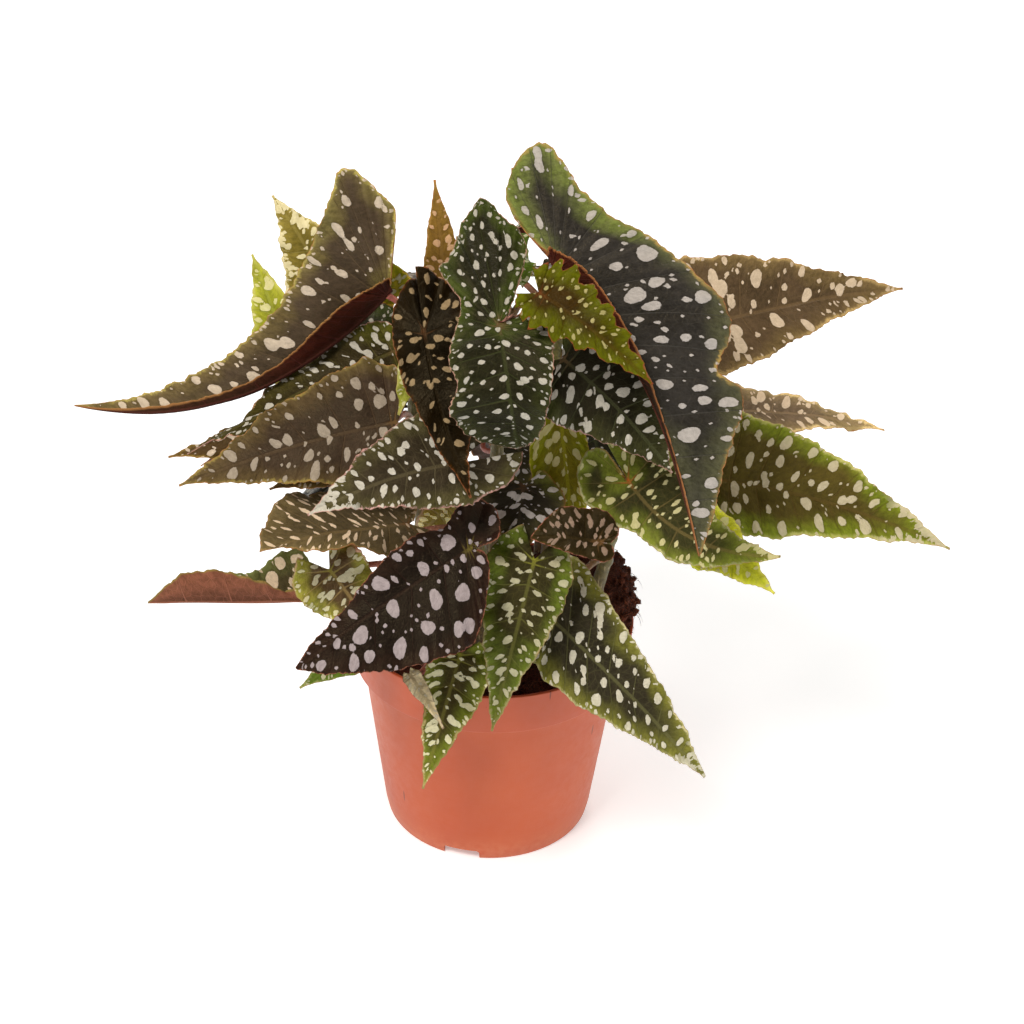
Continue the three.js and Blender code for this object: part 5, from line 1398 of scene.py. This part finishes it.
# Peat: the CAD's heap with crumbs and fibres, in mm and degrees. azimuth, halfWidth: where the heap
# lies. waves: two rates, two shifts and the share of each roughness wave. heapShare, heapSpread:
# how much of the litter lies on the heap, and how widely.
peat = {
    "clearance": 0.35, "drop": 3, "azimuth": 22, "halfWidth": 82, "height": 22, "overhang": 2,
    "rings": 46, "sides": 200, "lump": 1.5,
    "waves": ((0.31, 0.27, 0.4, 1.9, 1.0), (0.83, 0.71, 2.2, 0.3, 0.6), (1.9, 1.6, 4.1, 2.7, 0.35)),
    "crumbs": 1500, "crumbRadius": 0.35, "crumbSpread": 1.5, "fibres": 620, "fibreLength": (2, 7),
    "fibreRadius": (0.1, 0.24), "heapShare": 0.6, "heapSpread": 45,
}
peatFinishes = {
    "peat": {"dark": (38, 18, 12), "light": (114, 56, 36), "thread": (150, 84, 56)},
    "peatCrumb": {"dark": (46, 21, 14), "light": (142, 72, 44), "thread": (172, 100, 66)},
    "peatFibre": {"dark": (72, 38, 22), "light": (140, 84, 50), "thread": (176, 120, 80)},
}


def peatRing(level):
    # Radius and height of the surface, flat and heaped, as a function of the way in
    inner = pot["rimRadius"] - pot["wall"]
    flat = pot["height"] - peat["drop"]
    crest = pot["height"] + peat["height"]
    outer = pot["rimRadius"] + peat["overhang"]
    collar = collarRadius - pot["wall"]
    stops = np.linspace(0, 1, 7)
    plain = ([collar, 0.88 * inner, 0.74 * inner, 0.58 * inner, 0.38 * inner, 0.17 * inner, 0],
             [flat - 1, flat + 0.5, flat + 0.5, flat + 1, flat + 2, flat + 3.5, flat + 5])
    heaped = ([inner - 0.8, outer, outer - 1, 0.93 * inner, 0.65 * inner, 0.3 * inner, 0],
              [pot["height"] + 0.8, pot["height"] + 0.2 * peat["height"],
               pot["height"] + 0.5 * peat["height"], crest - 2, crest, crest - 8, flat + 5])
    return [np.interp(level, stops, values) for values in (*plain, *heaped)]


def peatSurface(level, angle):
    # Points of the crumbly surface at these shares of the way in and azimuths
    turn = angle - math.radians(peat["azimuth"])
    off = np.abs(np.arctan2(np.sin(turn), np.cos(turn)))
    share = smooth(1 - off / math.radians(peat["halfWidth"]))
    plainR, plainZ, heapR, heapZ = peatRing(level)
    r = plainR + (heapR - plainR) * share
    z = plainZ + (heapZ - plainZ) * share
    rough = sum(np.sin(a * r * np.cos(angle) + b * z + c) * np.sin(b * r * np.sin(angle) + a * z + d) * h
                for a, b, c, d, h in peat["waves"])
    rough = rough * peat["lump"] * smooth(level / 0.12)
    slope = share[..., None] if np.ndim(share) else share
    outward = np.stack([np.cos(angle), np.sin(angle), 1.3 + 0 * angle], axis=-1) * (0.4 + 0.6 * slope)
    outward = outward + np.stack([0 * angle, 0 * angle, 1.0 - share], axis=-1)
    base = np.stack([r * np.cos(angle), r * np.sin(angle), z], axis=-1)
    return base + unit(outward) * rough[..., None], unit(outward)


def makePeatMaterial(name):
    dark, light, thread = (srgb(*colour) for colour in peatFinishes[name].values())
    material, tree, skin, _ = startMaterial(name)
    place = attribute(tree, "place").outputs["Vector"]
    mottle = useGroup(tree, mottleGroup, Place=place, SlowScale=0.12, QuickScale=1.1)
    base = blendColour(tree, mottle["Quick"], dark, light)
    base = blendColour(tree, calc(tree, "MULTIPLY", mottle["Slow"], 0.4), base, dark)
    strand = cells(tree, vectorCalc(tree, "MULTIPLY", place, (0.5, 1.6, 1.0)), 1.2, "DISTANCE_TO_EDGE")
    threads = ramp(tree, strand.outputs["Distance"], 0.02, 0.08, 0.5, 0.0)
    base = blendColour(tree, threads, base, thread)
    feed(tree, skin.inputs["Base Color"], base)
    feed(tree, skin.inputs["Roughness"], calc(tree, "MULTIPLY_ADD", mottle["Quick"], 0.2, 0.75))
    skin.inputs["Specular IOR Level"].default_value = 0.25
    bump(tree, skin, calc(tree, "ADD", mottle["Quick"], threads), 0.8 * mm)
    return material


def makePeat():
    # From the pot's floor up its wall, then over the surface to the middle
    rings, sides = peat["rings"], peat["sides"]
    bottom = pot["channelRise"] + pot["wall"] + 0.3
    wall = [(r - peat["clearance"], max(z, bottom)) for r, z in potInside()[:-1]]
    angle = np.linspace(0, 2 * math.pi, sides, endpoint=False)
    rows = [np.stack([r * np.cos(angle), r * np.sin(angle), z + 0 * angle], axis=-1) for r, z in wall]
    for level in np.linspace(0, 0.995, rings):
        rows.append(peatSurface(np.full(sides, level), angle)[0])
    points = np.concatenate([[(0, 0, bottom)], *rows, [rows[-1].mean(0)]])
    last = len(points) - 1
    faces = []
    for k in range(sides):
        n = (k + 1) % sides
        faces.append((0, 1 + n, 1 + k))
        for j in range(len(rows) - 1):
            low, high = 1 + j * sides, 1 + (j + 1) * sides
            faces.append((low + k, low + n, high + n, high + k))
        top = 1 + (len(rows) - 1) * sides
        faces.append((top + k, top + n, last))
    addPiece("peatBed", points, faces, (makePeatMaterial("peat"),), ("peat",),
             values={"place": points})


def makePeatLitter():
    # Crumbs and fibres that lie on the bed, more of them on the heap
    draw = random.Random(11)
    seed = bmesh.new()
    bmesh.ops.create_icosphere(seed, subdivisions=1, radius=1)
    ball = np.array([p.co for p in seed.verts])
    ballFaces = [[p.index for p in face.verts] for face in seed.faces]
    seed.free()
    points, faces, kinds = [], [], []
    count = 0
    for _ in range(peat["crumbs"]):
        level, angle = draw.uniform(0.06, 0.9), litterAngle(draw)
        place, out = peatSurface(np.array(level), np.array(angle))
        size = peat["crumbRadius"] + peat["crumbSpread"] * draw.random() ** 2.5
        squash = np.array([draw.uniform(0.6, 1.4) for _ in range(3)])
        bumps = np.array([draw.uniform(0.7, 1.25) for _ in ball])[:, None]
        points.append(place + out * size * 0.3 + ball * bumps * squash * size)
        faces += [[i + count for i in face] for face in ballFaces]
        kinds += [0] * len(ballFaces)
        count += len(ball)
    for _ in range(peat["fibres"]):
        level, angle = draw.uniform(0.04, 0.9), litterAngle(draw)
        place, out = peatSurface(np.array(level), np.array(angle))
        length, radius = draw.uniform(*peat["fibreLength"]), draw.uniform(*peat["fibreRadius"])
        strand, strandFaces = makeFibre(draw, place, out, length, radius)
        points.append(strand)
        faces += [[i + count for i in face] for face in strandFaces]
        kinds += [draw.choice((0, 1, 1))] * len(strandFaces)
        count += len(strand)
    points = np.concatenate(points)
    finishes = makePeatMaterial("peatCrumb"), makePeatMaterial("peatFibre")
    addPiece("peatLitter", points, faces, finishes, (), kinds, {"place": points})


def litterAngle(draw):
    if draw.random() < peat["heapShare"]:
        return math.radians(peat["azimuth"] + draw.gauss(0, peat["heapSpread"]))
    return draw.uniform(0, 2 * math.pi)


def makeFibre(draw, start, out, length, radius):
    # A thin curled strand that rises a little from the bed and comes back to it
    side = unit(np.cross(out, [draw.uniform(-1, 1) for _ in range(3)]))
    turn = unit(np.cross(out, side)) * draw.uniform(-0.5, 0.5)
    lift = draw.uniform(0.1, 0.45)
    corners = (start - out * 0.3, start + side * length * 0.33 + out * length * lift,
               start + (side + turn) * length * 0.66 + out * length * lift * 0.6,
               start + (side + 1.5 * turn) * length - out * 0.6)
    return tube(lambda s: bezier(corners, s), 7, 4,
                lambda share, run, whole: radius * (1 - 0.7 * share))[:2]


makePeat()
makePeatLitter()
print("peat done")


# Stage, in metres: a pale floor, and white surroundings that light the plant less than the lamps
studio = {
    "floorSize": 12, "floorDrop": 0.0001, "floor": (0.86, 0.92, 1.0), "floorGlow": 0.32,
    "surround": 0.25, "warmth": (1.0, 0.93, 0.83), "aim": (0, 0, 0.17),
    "lamps": {
        "key": {"power": 36, "place": (-0.7, -0.9, 1.7), "size": 0.7},
        "fill": {"power": 8, "place": (1.3, -0.7, 0.9), "size": 1.0},
        "back": {"power": 16, "place": (0.3, 1.1, 1.5), "size": 1.0},
    },
}


def makeFloor():
    mesh = bpy.data.meshes.new("floor")
    half, low = studio["floorSize"] / 2, -studio["floorDrop"]
    corners = [(-half, -half, low), (half, -half, low), (half, half, low), (-half, half, low)]
    mesh.from_pydata(corners, [], [(0, 1, 2, 3)])
    floor = bpy.data.objects.new("floor", mesh)
    bpy.context.scene.collection.objects.link(floor)
    material, _, skin, _ = startMaterial("floor")
    skin.inputs["Base Color"].default_value = (*studio["floor"], 1)
    skin.inputs["Roughness"].default_value = 0.8
    skin.inputs["Specular IOR Level"].default_value = 0.1
    skin.inputs["Emission Color"].default_value = (1, 1, 1, 1)
    skin.inputs["Emission Strength"].default_value = studio["floorGlow"]
    mesh.materials.append(material)


def makeSurround():
    # White to the camera, warmer and dimmer as a light
    world = bpy.data.worlds.new("surround")
    world.use_nodes = True
    tree = world.node_tree
    background = tree.nodes["Background"]
    seen = tree.nodes.new("ShaderNodeLightPath").outputs["Is Camera Ray"]
    feed(tree, background.inputs["Color"],
         blendColour(tree, seen, (*studio["warmth"], 1), (1, 1, 1, 1)))
    feed(tree, background.inputs["Strength"], ramp(tree, seen, 0.0, 1.0, studio["surround"], 1.0))
    bpy.context.scene.world = world
    bpy.context.scene.view_settings.view_transform = "Standard"


def makeLamps():
    for name, lamp in studio["lamps"].items():
        light = bpy.data.lights.new(name, "AREA")
        light.energy = lamp["power"]
        light.size = lamp["size"]
        light.color = studio["warmth"]
        stand = bpy.data.objects.new(name, light)
        bpy.context.scene.collection.objects.link(stand)
        stand.location = lamp["place"]
        aim = Vector(studio["aim"]) - stand.location
        stand.rotation_mode = "QUATERNION"
        stand.rotation_quaternion = aim.to_track_quat("-Z", "Y")


makeFloor()
makeSurround()
makeLamps()
print("stage done")
